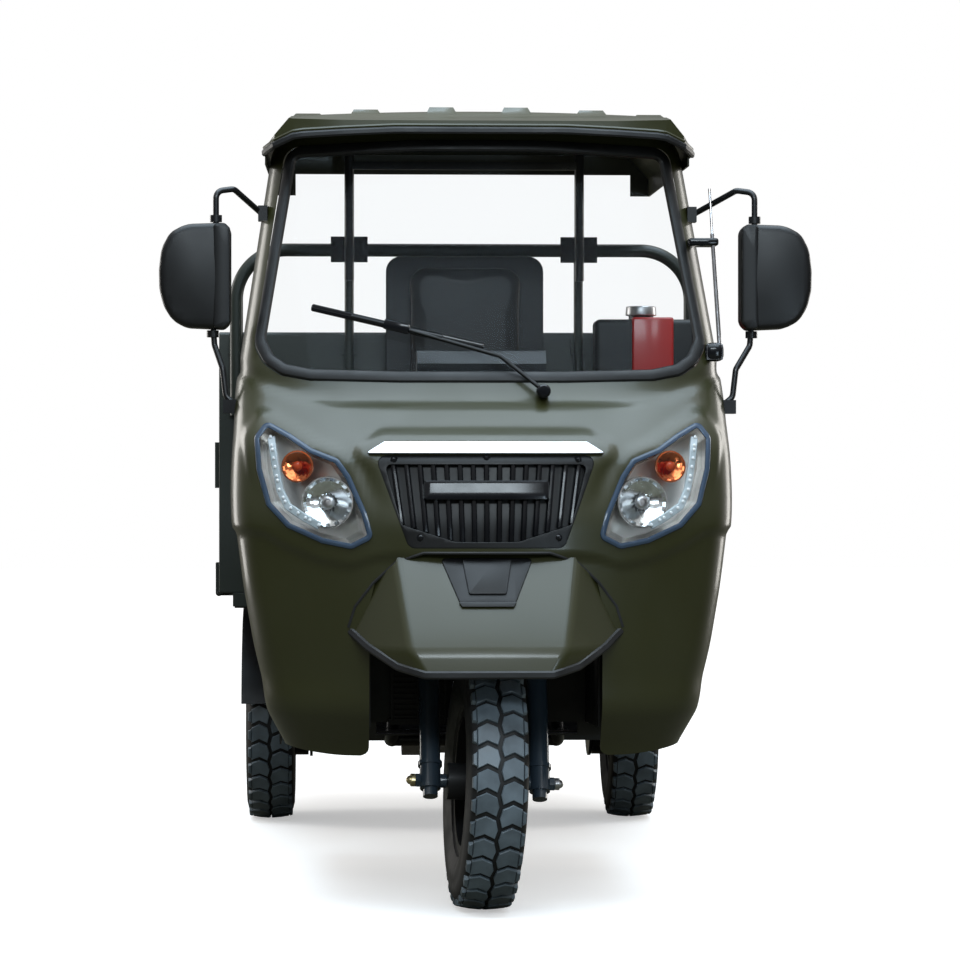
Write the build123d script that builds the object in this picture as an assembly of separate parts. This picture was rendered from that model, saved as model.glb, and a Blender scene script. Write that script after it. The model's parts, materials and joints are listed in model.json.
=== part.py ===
from build123d import *
import math
import os

# Enclosed cargo motor tricycle, in millimetres.
# Pieces are drawn with y measured rearwards from the tip of the nose, x to the vehicle's left and z up.
# They are written out with y measured from the middle of the length.

# Overall size
LENGTH = 3450

# Wheels: 5.00-12 tyres on steel rims
WHEELBASE = 2250
FRONT_AXLE_Y = 330
REAR_AXLE_Y = FRONT_AXLE_Y + WHEELBASE
TYRE_RADIUS = 290
TYRE_WIDTH = 140
RIM_SEAT_RADIUS = 152
RIM_HALF_WIDTH = 48
FLANGE_RADIUS = 165
AXLE_Z = TYRE_RADIUS
REAR_TRACK_HALF = 520

# Steering geometry
STEER_RAKE = 26
FORK_OFFSET = 45
STEER_AT_REST = 5
FORK_LEG_X = 126
LOWER_CLAMP = 558
HEAD_TUBE_START = 590
HEAD_TUBE_LENGTH = 148
UPPER_CLAMP = 740
CLAMP_THICK = 28
UPPER_CLAMP_THICK = 20
STEM_RADIUS = 14

RAKE_SIN = math.sin(math.radians(STEER_RAKE))
RAKE_COS = math.cos(math.radians(STEER_RAKE))
# Local z runs up the fork from the axle, local y points back towards the steering axis
FORK_PLANE = Plane(
    origin=(0, FRONT_AXLE_Y, AXLE_Z), x_dir=(1, 0, 0), z_dir=(0, RAKE_SIN, RAKE_COS)
)
STEER_AXIS = Axis(
    (0, FRONT_AXLE_Y + FORK_OFFSET * RAKE_COS, AXLE_Z - FORK_OFFSET * RAKE_SIN),
    (0, RAKE_SIN, RAKE_COS),
)

# Cab skin: plan sections, each a wide front arc, two corner arcs and straight sides
CORNER_RADIUS = 120
CAB_REAR_Y = 930
SKIN = 5
# columns: height, half width, y of the nose, radius of the front arc
LEG_SECTIONS = (
    (360, 452, 215, 900),
    (470, 491, 148, 900),
    (600, 524, 135, 900),
    (740, 549, 131, 900),
    (887, 568, 129, 900),
)
NOSE_TOP = (1040, 573, 158, 900)
SCUTTLE = (1190, 572, 340, 1500)
HEADER = (1850, 477, 603, 1500)

# Bed
BED_FRONT_Y = 1530
BED_HALF_WIDTH = 640
BED_FLOOR_Z = 690
BED_SIDE_TOP = 1331
HEADBOARD_TOP = 1368
PANEL_THICK = 30
PANEL_GAP = 6
HOOP_RADIUS = 17
HOOP_HALF_WIDTH = 594
HOOP_TOP_Z = 1582
HINGE_RADIUS = 9
HINGE_PIN_RADIUS = 5
HINGE_CLEARANCE = 0.5
PLATE_HOLE_RADIUS = 4
POST_X = 300
RAIL_X = 280
RAIL_TOP = 640
RAIL_HEIGHT = 80
RAIL_REAR_Y = 3340

# Floor and the tubes under it
FLOOR_Z = 376
FLOOR_TUBE_RADIUS = 19
FLOOR_TUBE = ((22, 664, 862), (170, 772, 600), (200, 800, 352), (200, 1440, 352), (RAIL_X, 1580, 598))
ENGINE_OUTPUT_Z = 420


def mirrored(shape):
    """The same piece on the other side of the vehicle."""
    return mirror(shape, about=Plane.YZ)


def pair(shape):
    """A piece and its mirror image, as two solids that do not touch."""
    return Compound(children=[Part() + shape, Part() + mirrored(shape)])


def front_prism(points, y_from, y_to, radius=0.0):
    """An outline drawn in front view, as (x, z) points, pushed along the vehicle."""
    line = FilletPolyline(*points, radius=radius, close=True) if radius else Polyline(*points, close=True)
    face = Plane.XZ * make_face(line)
    return extrude(Pos(0, y_from, 0) * face, amount=y_to - y_from, dir=(0, 1, 0))


def side_prism(points, x_from, x_to, radius=0.0):
    """An outline drawn in side view, as (y, z) points, pushed across the vehicle."""
    line = FilletPolyline(*points, radius=radius, close=True) if radius else Polyline(*points, close=True)
    face = Plane.YZ * make_face(line)
    return extrude(Pos(x_from, 0, 0) * face, amount=x_to - x_from, dir=(1, 0, 0))


def top_prism(points, z_from, z_to, radius=0.0):
    """An outline drawn in plan, as (x, y) points, pushed upwards."""
    line = FilletPolyline(*points, radius=radius, close=True) if radius else Polyline(*points, close=True)
    return extrude(Pos(0, 0, z_from) * make_face(line), amount=z_to - z_from)


def symmetric(points):
    """Right half points, followed by their mirror images in the opposite order."""
    return [*points, *[(-x, z) for x, z in reversed(points)]]


def block(x_from, x_to, y_from, y_to, z_from, z_to):
    """A rectangular block between two corners."""
    centre = Pos((x_from + x_to) / 2, (y_from + y_to) / 2, (z_from + z_to) / 2)
    return centre * Box(abs(x_to - x_from), abs(y_to - y_from), abs(z_to - z_from))


def bar(start, end, radius):
    """A straight round bar between two points."""
    along = Vector(*end) - Vector(*start)
    rod = Cylinder(radius, along.length, align=(Align.CENTER, Align.CENTER, Align.MIN))
    return Plane(origin=start, z_dir=along) * rod


def tube(points, radius, bend):
    """A round bar along straight runs joined by bends."""
    path = FilletPolyline(*points, radius=bend)
    return sweep(Plane(origin=path @ 0, z_dir=path % 0) * Circle(radius), path=path)


def disc(radius, x_from, x_to, y, z):
    """A round disc on a crosswise axis."""
    return Pos((x_from + x_to) / 2, y, z) * Rot(0, 90, 0) * Cylinder(radius, abs(x_to - x_from))


def plan_section(height, half_width, nose, front_radius, grow):
    """One plan section of the cab, offset outwards by grow."""
    front_y = nose + front_radius
    corner_x = half_width - CORNER_RADIUS
    corner_y = front_y - math.sqrt((front_radius - CORNER_RADIUS) ** 2 - corner_x**2)
    turn = math.asin(corner_x / (front_radius - CORNER_RADIUS))
    middle = (turn + math.pi / 2) / 2
    corner = CORNER_RADIUS + grow
    front = front_radius + grow
    start = (front * math.sin(turn), front_y - front * math.cos(turn))
    through = (corner_x + corner * math.sin(middle), corner_y - corner * math.cos(middle))
    end = (corner_x + corner, corner_y)
    outline = [
        ThreePointArc((-start[0], start[1]), (0, nose - grow), start),
        ThreePointArc(start, through, end),
        Line(end, (end[0], CAB_REAR_Y)),
        Line((end[0], CAB_REAR_Y), (-end[0], CAB_REAR_Y)),
        Line((-end[0], CAB_REAR_Y), (-end[0], end[1])),
        ThreePointArc((-end[0], end[1]), (-through[0], through[1]), (-start[0], start[1])),
    ]
    return Pos(0, 0, height) * make_face(Curve() + outline)


CAB_SOLIDS = {}


def cab_solid(grow):
    """The cab's whole outer volume, its sides offset outwards by grow."""
    if grow not in CAB_SOLIDS:
        legs = loft([plan_section(*row, grow) for row in LEG_SECTIONS])
        steps = (LEG_SECTIONS[-1], NOSE_TOP, SCUTTLE, HEADER)
        upper = [
            loft([plan_section(*low, grow), plan_section(*high, grow)], ruled=True)
            for low, high in zip(steps, steps[1:])
        ]
        CAB_SOLIDS[grow] = legs + upper
    return CAB_SOLIDS[grow]


def skin_y(x, z):
    """The y of the cab's outer surface at a place on the front, from the leg shields' upper part upwards."""
    steps = (*LEG_SECTIONS[-2:], NOSE_TOP, SCUTTLE, HEADER)
    for low, high in zip(steps, steps[1:]):
        if low[0] <= z <= high[0]:
            share = (z - low[0]) / (high[0] - low[0])
            width, nose, radius = (a + (b - a) * share for a, b in zip(low[1:], high[1:]))
    edge = width - CORNER_RADIUS
    centre = nose + radius
    tangent = radius * edge / (radius - CORNER_RADIUS)
    if abs(x) <= tangent:
        return centre - math.sqrt(radius**2 - x**2)
    corner_y = centre - math.sqrt((radius - CORNER_RADIUS) ** 2 - edge**2)
    return corner_y - math.sqrt(max(CORNER_RADIUS**2 - (abs(x) - edge) ** 2, 0))


# Outlines on the cab's face, right half, as (x, z)
GLASS_HALF = ((190, 1230), (385, 1236), (445, 1249), (482, 1276), (500, 1318), (428, 1746), (150, 1754))
SEAL_HALF = ((190, 1204), (400, 1210), (466, 1223), (504, 1249), (527, 1292), (456, 1769), (150, 1781))
GRILLE_HALF = ((174, 828), (251, 1037))
GRILLE_OPENING = ((70, 842), (190, 880), (228, 1016))
GRILLE_DEPTH = 24
BAR_WIDTH = 9
BAR_PITCH = 31
BAR_COUNT = 15
NAME_PLATE_HALF = ((139, 937), (139, 980))
STRIP_HALF = ((272, 1041), (228, 1069))
LAMP_OUTLINE = (
    (496, 1118), (524, 1080), (518, 1005), (495, 923), (448, 873), (369, 838),
    (302, 825), (252, 850), (268, 908), (304, 990), (331, 1029), (391, 1053), (440, 1087),
)
LAMP_BAND = 20
LAMP_DEPTH = 80
LAMP_REAR_Y = 430
WHEEL_OPENING = ((262, 300), (262, 700), (225, 815))
QUARTER_WINDOW = ((585, 1300), (672, 1300), (807, 1690), (722, 1690))
SIDE_CUT = ((-100, 355), (590, 355), (640, 440), (655, 1100), (700, 1200), (925, 1850), (-100, 1850))


def lamp_outline(grow):
    """The headlamp's outline on the image of the front, right side."""
    line = FilletPolyline(*LAMP_OUTLINE, radius=18, close=True)
    face = make_face(line)
    return offset(face, amount=grow) if grow else face


def lamp_prism(grow=0):
    """The headlamp's outline pushed through the front of the cab."""
    face = Plane.XZ * lamp_outline(grow)
    return extrude(face, amount=LAMP_REAR_Y, dir=(0, 1, 0))


def shell_band(outside, inside, prism):
    """The part of the cab's skin between two offsets that lies inside an outline."""
    return (cab_solid(outside) & prism) - cab_solid(inside)


def seal_prism():
    return front_prism(symmetric(SEAL_HALF), 200, 780, 38)


def glass_prism():
    return front_prism(symmetric(GLASS_HALF), 200, 780, 32)


def grille_prism():
    return front_prism(symmetric(GRILLE_HALF), 0, 420, 20)


def cab_shell():
    """Front shell with leg shields, hood, scuttle and windshield pillars."""
    shell = cab_solid(0) - cab_solid(-SKIN)
    shell = shell & side_prism(SIDE_CUT, -700, 700)
    shell -= front_prism(symmetric(WHEEL_OPENING), 0, 500)
    shell -= grille_prism()
    shell -= seal_prism()
    shell -= lamp_prism()
    shell -= mirrored(lamp_prism())
    shell -= side_prism(QUARTER_WINDOW, -700, 700, 16)
    under_roof = block(-700, 700, -100, CAB_REAR_Y, 300, ROOF_SKIRT_Z) + roof_volume(ROOF_WALL)
    return shell & under_roof


def windshield_seal():
    return shell_band(5, -9, seal_prism() - glass_prism())


def cab_glass():
    """Windshield and the fixed side glass behind each of its pillars."""
    pane = (cab_solid(-1) - cab_solid(-SKIN)) & side_prism(QUARTER_WINDOW, 300, 700, 16)
    windshield = shell_band(-1, -6, glass_prism())
    return Compound(children=[windshield, Part() + pane, Part() + mirrored(pane)])


def grille():
    """Black grille: an outer frame, upright bars and a bare name plate."""
    opening = front_prism(symmetric(GRILLE_OPENING), 0, 420, 12)
    frame = shell_band(4, -GRILLE_DEPTH, grille_prism() - opening)
    first = -(BAR_COUNT - 1) / 2 * BAR_PITCH
    bars = []
    for i in range(BAR_COUNT):
        x = first + i * BAR_PITCH
        front = [(skin_y(x, z) - 1, z) for z in (832, 887, 1030)]
        back = [(y + GRILLE_DEPTH, z) for y, z in reversed(front)]
        bars.append(side_prism([*front, *back], x - BAR_WIDTH / 2, x + BAR_WIDTH / 2))
    slats = (Part() + bars) & front_prism(symmetric(GRILLE_OPENING), 0, 420)
    plate = shell_band(8, -6, front_prism(symmetric(NAME_PLATE_HALF), 0, 420, 5))
    return frame + slats + plate


def grille_trim():
    """Bright strip across the top of the grille."""
    return shell_band(10, 0, front_prism(symmetric(STRIP_HALF), 0, 420, 8))


def headlamp_housings():
    """Each lamp's rim and the bowl behind it."""
    rim = shell_band(6, -8, lamp_prism() - lamp_prism(-LAMP_BAND))
    bowl = shell_band(-8, -LAMP_DEPTH, lamp_prism(-LAMP_BAND + 5))
    cavity = shell_band(-8, -LAMP_DEPTH + 4, lamp_prism(-LAMP_BAND))
    return pair(rim + (bowl - cavity))


def headlamp_lenses():
    return pair(shell_band(3, -2, lamp_prism(-LAMP_BAND)))


# Nose fender: plan polygons, columns: height, front y, front half width, side y, side half width
BEAK_SECTIONS = (
    (540, 6, 138, 160, 296),
    (601, 17, 175, 190, 314),
    (812, 150, 205, 214, 262),
)
BEAK_REAR_Y = 300
BEAK_OUTLINE = (
    (140, 556), (200, 572), (266, 613), (309, 650), (294, 697), (253, 751), (203, 797),
)
VENT_OUTLINE = ((65, 704), (95, 800))


def beak_solid(grow):
    """The nose fender's outer volume, offset outwards by grow."""
    faces = []
    for height, front_y, front_half, side_y, side_half in BEAK_SECTIONS:
        half = [
            (front_half + grow / 2, front_y - grow),
            (side_half + grow, side_y - grow),
            (side_half + grow, BEAK_REAR_Y),
        ]
        faces.append(Pos(0, 0, height) * make_face(Polyline(*symmetric(half), close=True)))
    return loft(faces, ruled=True)


def nose_fender():
    """Beak over the front wheel, open below and behind."""
    outline = front_prism(symmetric(BEAK_OUTLINE), -40, 320, 12)
    shell = (beak_solid(0) - (Pos(0, 8, -5) * beak_solid(-4))) & outline
    return shell - cab_solid(0)


def nose_fender_lip():
    """Black rubber edge along the beak's underside."""
    band = front_prism(symmetric(((140, 575), (194, 591), (256, 631), (300, 668), (318, 650),
                                  (268, 598), (202, 556), (140, 540))), -40, 320)
    upper = front_prism(symmetric(BEAK_OUTLINE), -40, 320, 12)
    return ((beak_solid(6) - beak_solid(0)) & band) - cab_solid(0)


def nose_vent():
    """Black raised insert on the beak, with slots across it."""
    plate = (beak_solid(5) - beak_solid(0)) & front_prism(symmetric(VENT_OUTLINE), -40, 320, 6)
    slots = [block(-70, 70, 0, 300, z, z + 8) for z in range(722, 790, 18)]
    return plate - (Part() + slots)


def wheel_well():
    """Black inner panels around the front wheel, open at the top for the fork."""
    wall, half, rear, top, bottom = 4, 258, 680, 728, 404
    outline = ((262, bottom + 16), (rear, bottom), (rear, top), (300, 800), (236, 800))
    side = side_prism(outline, half, half + wall)
    back = block(-half, half, rear - wall, rear, bottom, top)
    return (side + mirrored(side) + back) & cab_solid(-SKIN)


def floor_pan():
    """Ribbed step floor behind the leg shields, with toe boards and an opening for the engine."""
    floor = block(-470, 470, 680, 1480, FLOOR_Z - 4, FLOOR_Z)
    edge = block(466, 470, 680, 1480, FLOOR_Z - 24, FLOOR_Z)
    ribs = [block(-440, 440, y, y + 14, FLOOR_Z, FLOOR_Z + 4) for y in range(720, 920, 44)]
    toe = block(240, 470, 680, 684, FLOOR_Z, 700)
    floor = Part() + [floor, edge, mirrored(edge), *ribs, toe, mirrored(toe)]
    well = block(-185, 185, 1030, 1500, 300, 400)
    tubes = floor_tube(FLOOR_TUBE_RADIUS + 3)
    return floor - well - tubes - mirrored(tubes)


def dashboard():
    """Bent dash panel under the windshield with the instrument pod on top."""
    profile = (
        (392, 1176), (520, 1190), (566, 1166), (572, 1080), (566, 1080), (560, 1163), (518, 1184), (392, 1170)
    )
    panel = side_prism(profile, -600, 600) & cab_solid(-SKIN - 1)
    pod = side_prism(((420, 1186), (412, 1250), (438, 1282), (470, 1282), (545, 1182)), -150, 150)
    pod = fillet(pod.edges().filter_by(Axis.X).group_by(Axis.Z)[-1], 8)
    return panel + (pod - side_prism(profile, -600, 600))


# Roof: columns: plan points of the right half, then the arch's right half
ROOF_FRONT_Y = 470
ROOF_REAR_Y = 1560
ROOF_WALL = 5
ROOF_SKIRT_Z = 1728
ROOF_PLAN = ((318, 474), (436, 492), (480, 520), (505, 580), (492, ROOF_REAR_Y))
ROOF_HALF_WIDTH = 505
ROOF_CREST_Z = 1852
ROOF_EAVE = (440, 1832)
ROOF_SIDE_Z = 1760
ROOF_SIDE = ((ROOF_FRONT_Y - 20, 1690), (ROOF_REAR_Y + 20, 1690), (ROOF_REAR_Y + 20, 1836),
             (1440, 1856), (620, 1856), (ROOF_FRONT_Y - 20, 1812))
VISOR_EDGE = ((200, 1790), (430, 1779), (476, 1760), (520, 1737))
VISOR_LIP_HEIGHT = 14
# columns: x of the rib's middle, height of its top
ROOF_RIBS = ((88, 1860), (266, 1854), (402, 1844))
RIB_TOP_HALF = 28
RIB_FOOT_HALF = 44
RIB_FOOT_Z = 1825


def roof_volume(inset):
    """The roof's outer volume, drawn in on every side but the bottom."""
    plan = [(x - inset, y + inset) for x, y in ROOF_PLAN[:-1]]
    plan.append((ROOF_PLAN[-1][0] - inset, ROOF_REAR_Y - inset))
    plan_solid = top_prism(symmetric(plan), 1650, 1900)
    half = ROOF_HALF_WIDTH - inset
    eave_x, eave_z = ROOF_EAVE
    right = [(half, 1690), (half, ROOF_SIDE_Z), (eave_x - inset, eave_z - inset)]
    arch_face = make_face(
        Curve() + [
            Polyline((-right[2][0], right[2][1]), (-right[1][0], right[1][1]), (-right[0][0], 1690),
                     (right[0][0], 1690), right[1], right[2]),
            ThreePointArc(right[2], (0, ROOF_CREST_Z - inset), (-right[2][0], right[2][1])),
        ]
    )
    arch = extrude(Plane.XZ * arch_face, amount=1700, dir=(0, 1, 0))
    side = side_prism([(y, z - (inset if z > 1700 else 0)) for y, z in ROOF_SIDE], -600, 600)
    return plan_solid & arch & side


def roof_panel():
    """Arched roof with a visor and six raised ribs."""
    shell = roof_volume(0) - roof_volume(ROOF_WALL)
    shell -= block(-600, 600, 300, 1700, 1600, ROOF_SKIRT_Z)
    shell -= front_prism(symmetric((*VISOR_EDGE, (520, 1600))), 300, 640)
    shell -= front_prism(((-440, 1784), (440, 1784), (440, 1600), (-440, 1600)), 1500, 1700)
    ribs = []
    for middle, top in ROOF_RIBS:
        left, right = middle - RIB_FOOT_HALF, middle + RIB_FOOT_HALF
        along = ((540, RIB_FOOT_Z), (585, top), (1470, top), (1500, RIB_FOOT_Z))
        across = (
            (left, RIB_FOOT_Z), (middle - RIB_TOP_HALF, top), (middle + RIB_TOP_HALF, top), (right, RIB_FOOT_Z)
        )
        length = side_prism(along, left, right)
        breadth = front_prism(across, 500, 1520)
        rib = length & breadth
        ribs += [rib, mirrored(rib)]
    return shell + ((Part() + ribs) - roof_volume(ROOF_WALL))


def roof_edge_trim():
    """Black rubber edge along the visor."""
    lower = [(x, z - 2) for x, z in VISOR_EDGE]
    upper = [(x + 4, z + VISOR_LIP_HEIGHT) for x, z in reversed(VISOR_EDGE)]
    band = front_prism(symmetric((*lower, *upper)), 300, 600)
    grown = extrude(
        offset(make_face(Polyline(*symmetric(ROOF_PLAN), close=True)), amount=5), amount=1900
    )
    return (grown - top_prism(symmetric(ROOF_PLAN), 0, 1900)) & band & block(-600, 600, 400, 590, 1700, 1860)


POST_TOP_Z = 1840


def roof_posts():
    """Rear roof posts, a bar across them and the plates and U-bolts that clamp them to the hoop."""
    hoop_y = BED_FRONT_Y - HOOP_RADIUS
    plate_y = hoop_y - HOOP_RADIUS
    post_y = plate_y - 5 - 11.5
    post = bar((POST_X, post_y, 1500), (POST_X, post_y, POST_TOP_Z), 12.5)
    plate = block(POST_X - 48, POST_X + 48, plate_y - 5, plate_y, 1549, 1616)
    around = HOOP_RADIUS + 4.5
    bolts = []
    for x in (POST_X - 34, POST_X + 34):
        path = Curve() + [
            Line((x, plate_y - 12, HOOP_TOP_Z + around), (x, hoop_y, HOOP_TOP_Z + around)),
            ThreePointArc(
                (x, hoop_y, HOOP_TOP_Z + around), (x, hoop_y + around, HOOP_TOP_Z),
                (x, hoop_y, HOOP_TOP_Z - around)
            ),
            Line((x, hoop_y, HOOP_TOP_Z - around), (x, plate_y - 12, HOOP_TOP_Z - around)),
        ]
        start = Plane(origin=(x, plate_y - 12, HOOP_TOP_Z + around), z_dir=(0, 1, 0))
        bolts.append(sweep(start * Circle(4), path=path))
    header = block(-POST_X, POST_X, post_y - 10, post_y + 10, 1790, 1810)
    side = Part() + [post, plate, *bolts]
    posts = Part() + [side, mirrored(side), header]
    return posts - (roof_volume(0) - roof_volume(ROOF_WALL))


# Mirrors, right side of the drawing. The photograph shows both heads set to the same side by the shift.
MIRROR_OUTLINE = (
    (596, 1347), (596, 1566), (610, 1580), (700, 1577), (737, 1557), (757, 1520),
    (763, 1470), (762, 1425), (752, 1385), (732, 1353), (700, 1336), (612, 1332),
)
MIRROR_SHIFT = 15
MIRROR_FRONT_Y = 484
MIRROR_REAR_Y = 556
MIRROR_GLASS_Y = 546
MIRROR_RIM = 10
MIRROR_Y = 520
ARM_X = 631
ARM_RADIUS = 7
ARM_BEND = 20
COLLAR_RADIUS = 14
COLLAR_HEIGHT = 16


def mirror_pair(one_side):
    """A mirror's piece for each side, reaching further on the vehicle's left than on its right."""
    left = one_side(MIRROR_SHIFT)
    right = one_side(-MIRROR_SHIFT)
    return Compound(children=[Part() + left, Part() + mirrored(right)])


def mirror_head_solid(shift):
    head = front_prism([(x + shift, z) for x, z in MIRROR_OUTLINE], MIRROR_FRONT_Y, MIRROR_REAR_Y, 14)
    return fillet(head.faces().sort_by(Axis.Y)[0].edges(), 12)


def mirror_recess(shift, depth):
    """The housing's open rear, from the glass backwards."""
    outline = make_face(Polyline(*[(x + shift, z) for x, z in MIRROR_OUTLINE], close=True))
    face = Plane.XZ * offset(outline, amount=-MIRROR_RIM)
    return extrude(Pos(0, MIRROR_GLASS_Y, 0) * face, amount=depth, dir=(0, 1, 0))


def mirror_arms():
    """Bent tubes that carry each door mirror from two brackets, with a collar at each end of the head."""

    def one_side(shift):
        x = ARM_X + shift
        low_x = ARM_X + shift / 2
        upper_path = ((512, 640, 1612), (590 + shift, 540, 1662), (x, MIRROR_Y, 1655), (x, MIRROR_Y, 1570))
        upper = tube(upper_path, ARM_RADIUS, ARM_BEND)
        lower_path = (
            (low_x, MIRROR_Y, 1345), (low_x - 4, 518, 1296),
            (600, 505, 1240), (592, 500, 1175), (562, 500, 1150),
        )
        lower = tube(lower_path, ARM_RADIUS, ARM_BEND)
        top_collar = Pos(x, MIRROR_Y, 1583 + COLLAR_HEIGHT / 2) * Cylinder(COLLAR_RADIUS, COLLAR_HEIGHT)
        low_collar = Pos(low_x, MIRROR_Y, 1330 - COLLAR_HEIGHT / 2) * Cylinder(COLLAR_RADIUS, COLLAR_HEIGHT)
        clamp = block(548, 598, 480, 520, 1136, 1168)
        foot = block(498, 520, 620, 660, 1594, 1630)
        arm = Part() + [upper, lower, top_collar, low_collar, clamp, foot]
        return arm - cab_solid(0) - mirror_head_solid(shift)

    return mirror_pair(one_side)


def mirror_heads():
    """Plastic housings, open at the rear for the glass."""
    return mirror_pair(lambda shift: mirror_head_solid(shift) - mirror_recess(shift, MIRROR_RIM * 2))


def mirror_glasses():
    return mirror_pair(lambda shift: mirror_recess(shift, 4))


def wiper():
    """One wiper, its pivot on the scuttle left of the middle as the driver sees it."""
    stand_off = 26
    pivot = (137, skin_y(137, 1192), 1182)
    elbow = (40, skin_y(40, 1265) - stand_off, 1265)
    grip = (-196, skin_y(-196, 1334) - stand_off, 1334)
    spindle = Pos(137, pivot[1] - 12, 1184) * Rot(90, 0, 0) * Cylinder(13, 40)
    arm = tube(((137, pivot[1] - 26, 1186), elbow, grip), 5, 30)
    blade_start = (-392, skin_y(-392, 1381) - 13, 1381)
    blade_end = (0, skin_y(0, 1287) - 13, 1287)
    blade = bar(blade_start, blade_end, 7)
    bridge = bar((-300, skin_y(-300, 1359) - 22, 1359), (-92, skin_y(-92, 1309) - 22, 1309), 6)
    return (Part() + [spindle, arm, bridge, blade]) - cab_solid(0)


def antenna():
    """Telescopic rod clipped to the left windshield pillar."""
    base = block(528, 566, 470, 500, 1262, 1298)
    rod = bar((560, 485, 1290), (549, 545, 1560), 5)
    tip = bar((549, 545, 1555), (544, 560, 1668), 3)
    clip = block(494, 560, 532, 600, 1534, 1548)
    return (Part() + [base, rod, tip, clip]) - cab_solid(0)


def floor_tube(radius):
    """The left tube that runs from the head tube under the floor and up to the bed's rail."""
    return tube(FLOOR_TUBE, radius, 60)


HEAD_TUBE_RADIUS = 27


def main_frame():
    """Head tube, floor tubes and the two rails under the bed."""
    head_middle = HEAD_TUBE_START + HEAD_TUBE_LENGTH / 2
    head = FORK_PLANE * Pos(0, FORK_OFFSET, head_middle) * Cylinder(HEAD_TUBE_RADIUS, HEAD_TUBE_LENGTH)
    bore = FORK_PLANE * Pos(0, FORK_OFFSET, 600) * Cylinder(STEM_RADIUS + 1, 900)
    side = floor_tube(FLOOR_TUBE_RADIUS)
    rail = block(RAIL_X - 20, RAIL_X + 20, BED_FRONT_Y + 10, RAIL_REAR_Y, RAIL_TOP - RAIL_HEIGHT, RAIL_TOP)
    members = [bar((-RAIL_X, y, 600), (RAIL_X, y, 600), 20) for y in (1600, 2200, 2960, 3310)]
    members += [bar((-200, y, 352), (200, y, 352), 16) for y in (830, 1430)]
    outriggers = [block(-464, 464, y, y + 30, FLOOR_Z - 32, FLOOR_Z - 4) for y in (900, 1385)]
    frame = Part() + [head, side, mirrored(side), rail, mirrored(rail), *members, *outriggers]
    return frame - bore


ENGINE_HEAD = (-70, 70, 1060, 1200, 600, 680)
CYLINDER_Y = 1130
FIN_COUNT = 7
FIN_PITCH = 16


def engine():
    """Water-cooled single under the seat: crankcase, cylinder, head, covers and gearbox."""
    case = block(-120, 120, 1050, 1330, 300, 470)
    case = fillet(case.edges().filter_by(Axis.X), 30)
    cylinder = Pos(0, CYLINDER_Y, 540) * Cylinder(62, 150)
    fins = [Pos(0, CYLINDER_Y, 490 + i * FIN_PITCH) * Cylinder(78, 5) for i in range(FIN_COUNT)]
    head = block(*ENGINE_HEAD)
    cover = disc(88, 110, 165, 1150, 385)
    clutch = disc(98, -170, -110, 1180, 385)
    output = bar((0, 1320, ENGINE_OUTPUT_Z), (0, 1380, ENGINE_OUTPUT_Z), 40)
    feet = [block(-200, 200, y, y + 24, 340, 364) for y in (1060, 1290)]
    feet = (Part() + feet) - floor_tube(FLOOR_TUBE_RADIUS) - mirrored(floor_tube(FLOOR_TUBE_RADIUS))
    feet &= block(-190, 190, 1000, 1400, 300, 400)
    return Part() + [case, cylinder, *fins, head, cover, clutch, output, feet]


def radiator():
    """Core with side tanks and a guard in front, on the right of the wheel well."""
    core = block(-200, -80, 650, 670, 412, 600)
    tanks = [block(-210, -70, 644, 676, 400, 414), block(-210, -70, 644, 676, 598, 616)]
    guard = [block(-204, -76, 638, 642, z, z + 4) for z in range(418, 600, 13)]
    posts = [block(x, x + 5, 636, 652, 404, 610) for x in (-206, -143, -79)]
    return Part() + [core, *tanks, *guard, *posts]


SILENCER_X = -150
SILENCER_Z = 420


def exhaust():
    """Pipe from the cylinder to a silencer under the front of the bed."""
    x, z = SILENCER_X, SILENCER_Z
    pipe = tube(((-60, CYLINDER_Y, 640), (x, CYLINDER_Y, 600), (x, 1460, z), (x, 1620, z)), 17, 40)
    silencer = Pos(x, 1850, z) * Rot(90, 0, 0) * Cylinder(58, 480)
    tail = bar((x, 2080, z - 20), (x, 2240, z - 20), 14)
    hanger = block(-260, -140, 1700, 1720, 440, 460)
    return (Part() + [pipe, silencer, tail, hanger]) - block(*ENGINE_HEAD)


SEAT_HALF = 400
SEAT_TOP_Z = 700
SEAT_SHEET = 4
VENT_COUNT = 7
VENT_PITCH = 50


def seat_base():
    """Sheet-metal box over the engine with vents in its sides."""
    top = SEAT_TOP_Z
    outside = ((930, FLOOR_Z), (960, top), (1440, top), (1440, FLOOR_Z))
    inside = ((934, FLOOR_Z - 10), (964, top - SEAT_SHEET), (1450, top - SEAT_SHEET), (1450, FLOOR_Z - 10))
    outer = side_prism(outside, -SEAT_HALF, SEAT_HALF)
    inner = side_prism(inside, -SEAT_HALF + SEAT_SHEET, SEAT_HALF - SEAT_SHEET)
    starts = [1040 + i * VENT_PITCH for i in range(VENT_COUNT)]
    vents = [block(-SEAT_HALF - 20, SEAT_HALF + 20, y, y + 20, 480, 600) for y in starts]
    return outer - inner - (Part() + vents)


def seat_cushion():
    """Padded driver's seat."""
    pad = block(-300, 300, 975, 1400, SEAT_TOP_Z, 790)
    return fillet(pad.edges().filter_by(Axis.Z) + pad.faces().sort_by(Axis.Z)[-1].edges(), 30)


def seat_backrest():
    """Backrest panel with its pad, fixed to the bed's front."""
    pad = block(-160, 160, 1410, 1460, 860, 1549)
    return fillet(pad.edges().filter_by(Axis.Y), 50)


def backrest_panel():
    panel = block(-205, 205, 1460, 1468, 800, 1563)
    panel = fillet(panel.edges().filter_by(Axis.Y), 40)
    arms = [block(x - 15, x + 15, 1468, 1530, z, z + 30) for x in (-150, 150) for z in (900, 1250)]
    return Part() + [panel, *arms]


TANK_X = (335, 597)
FILLER = (458, 1435)


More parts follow.
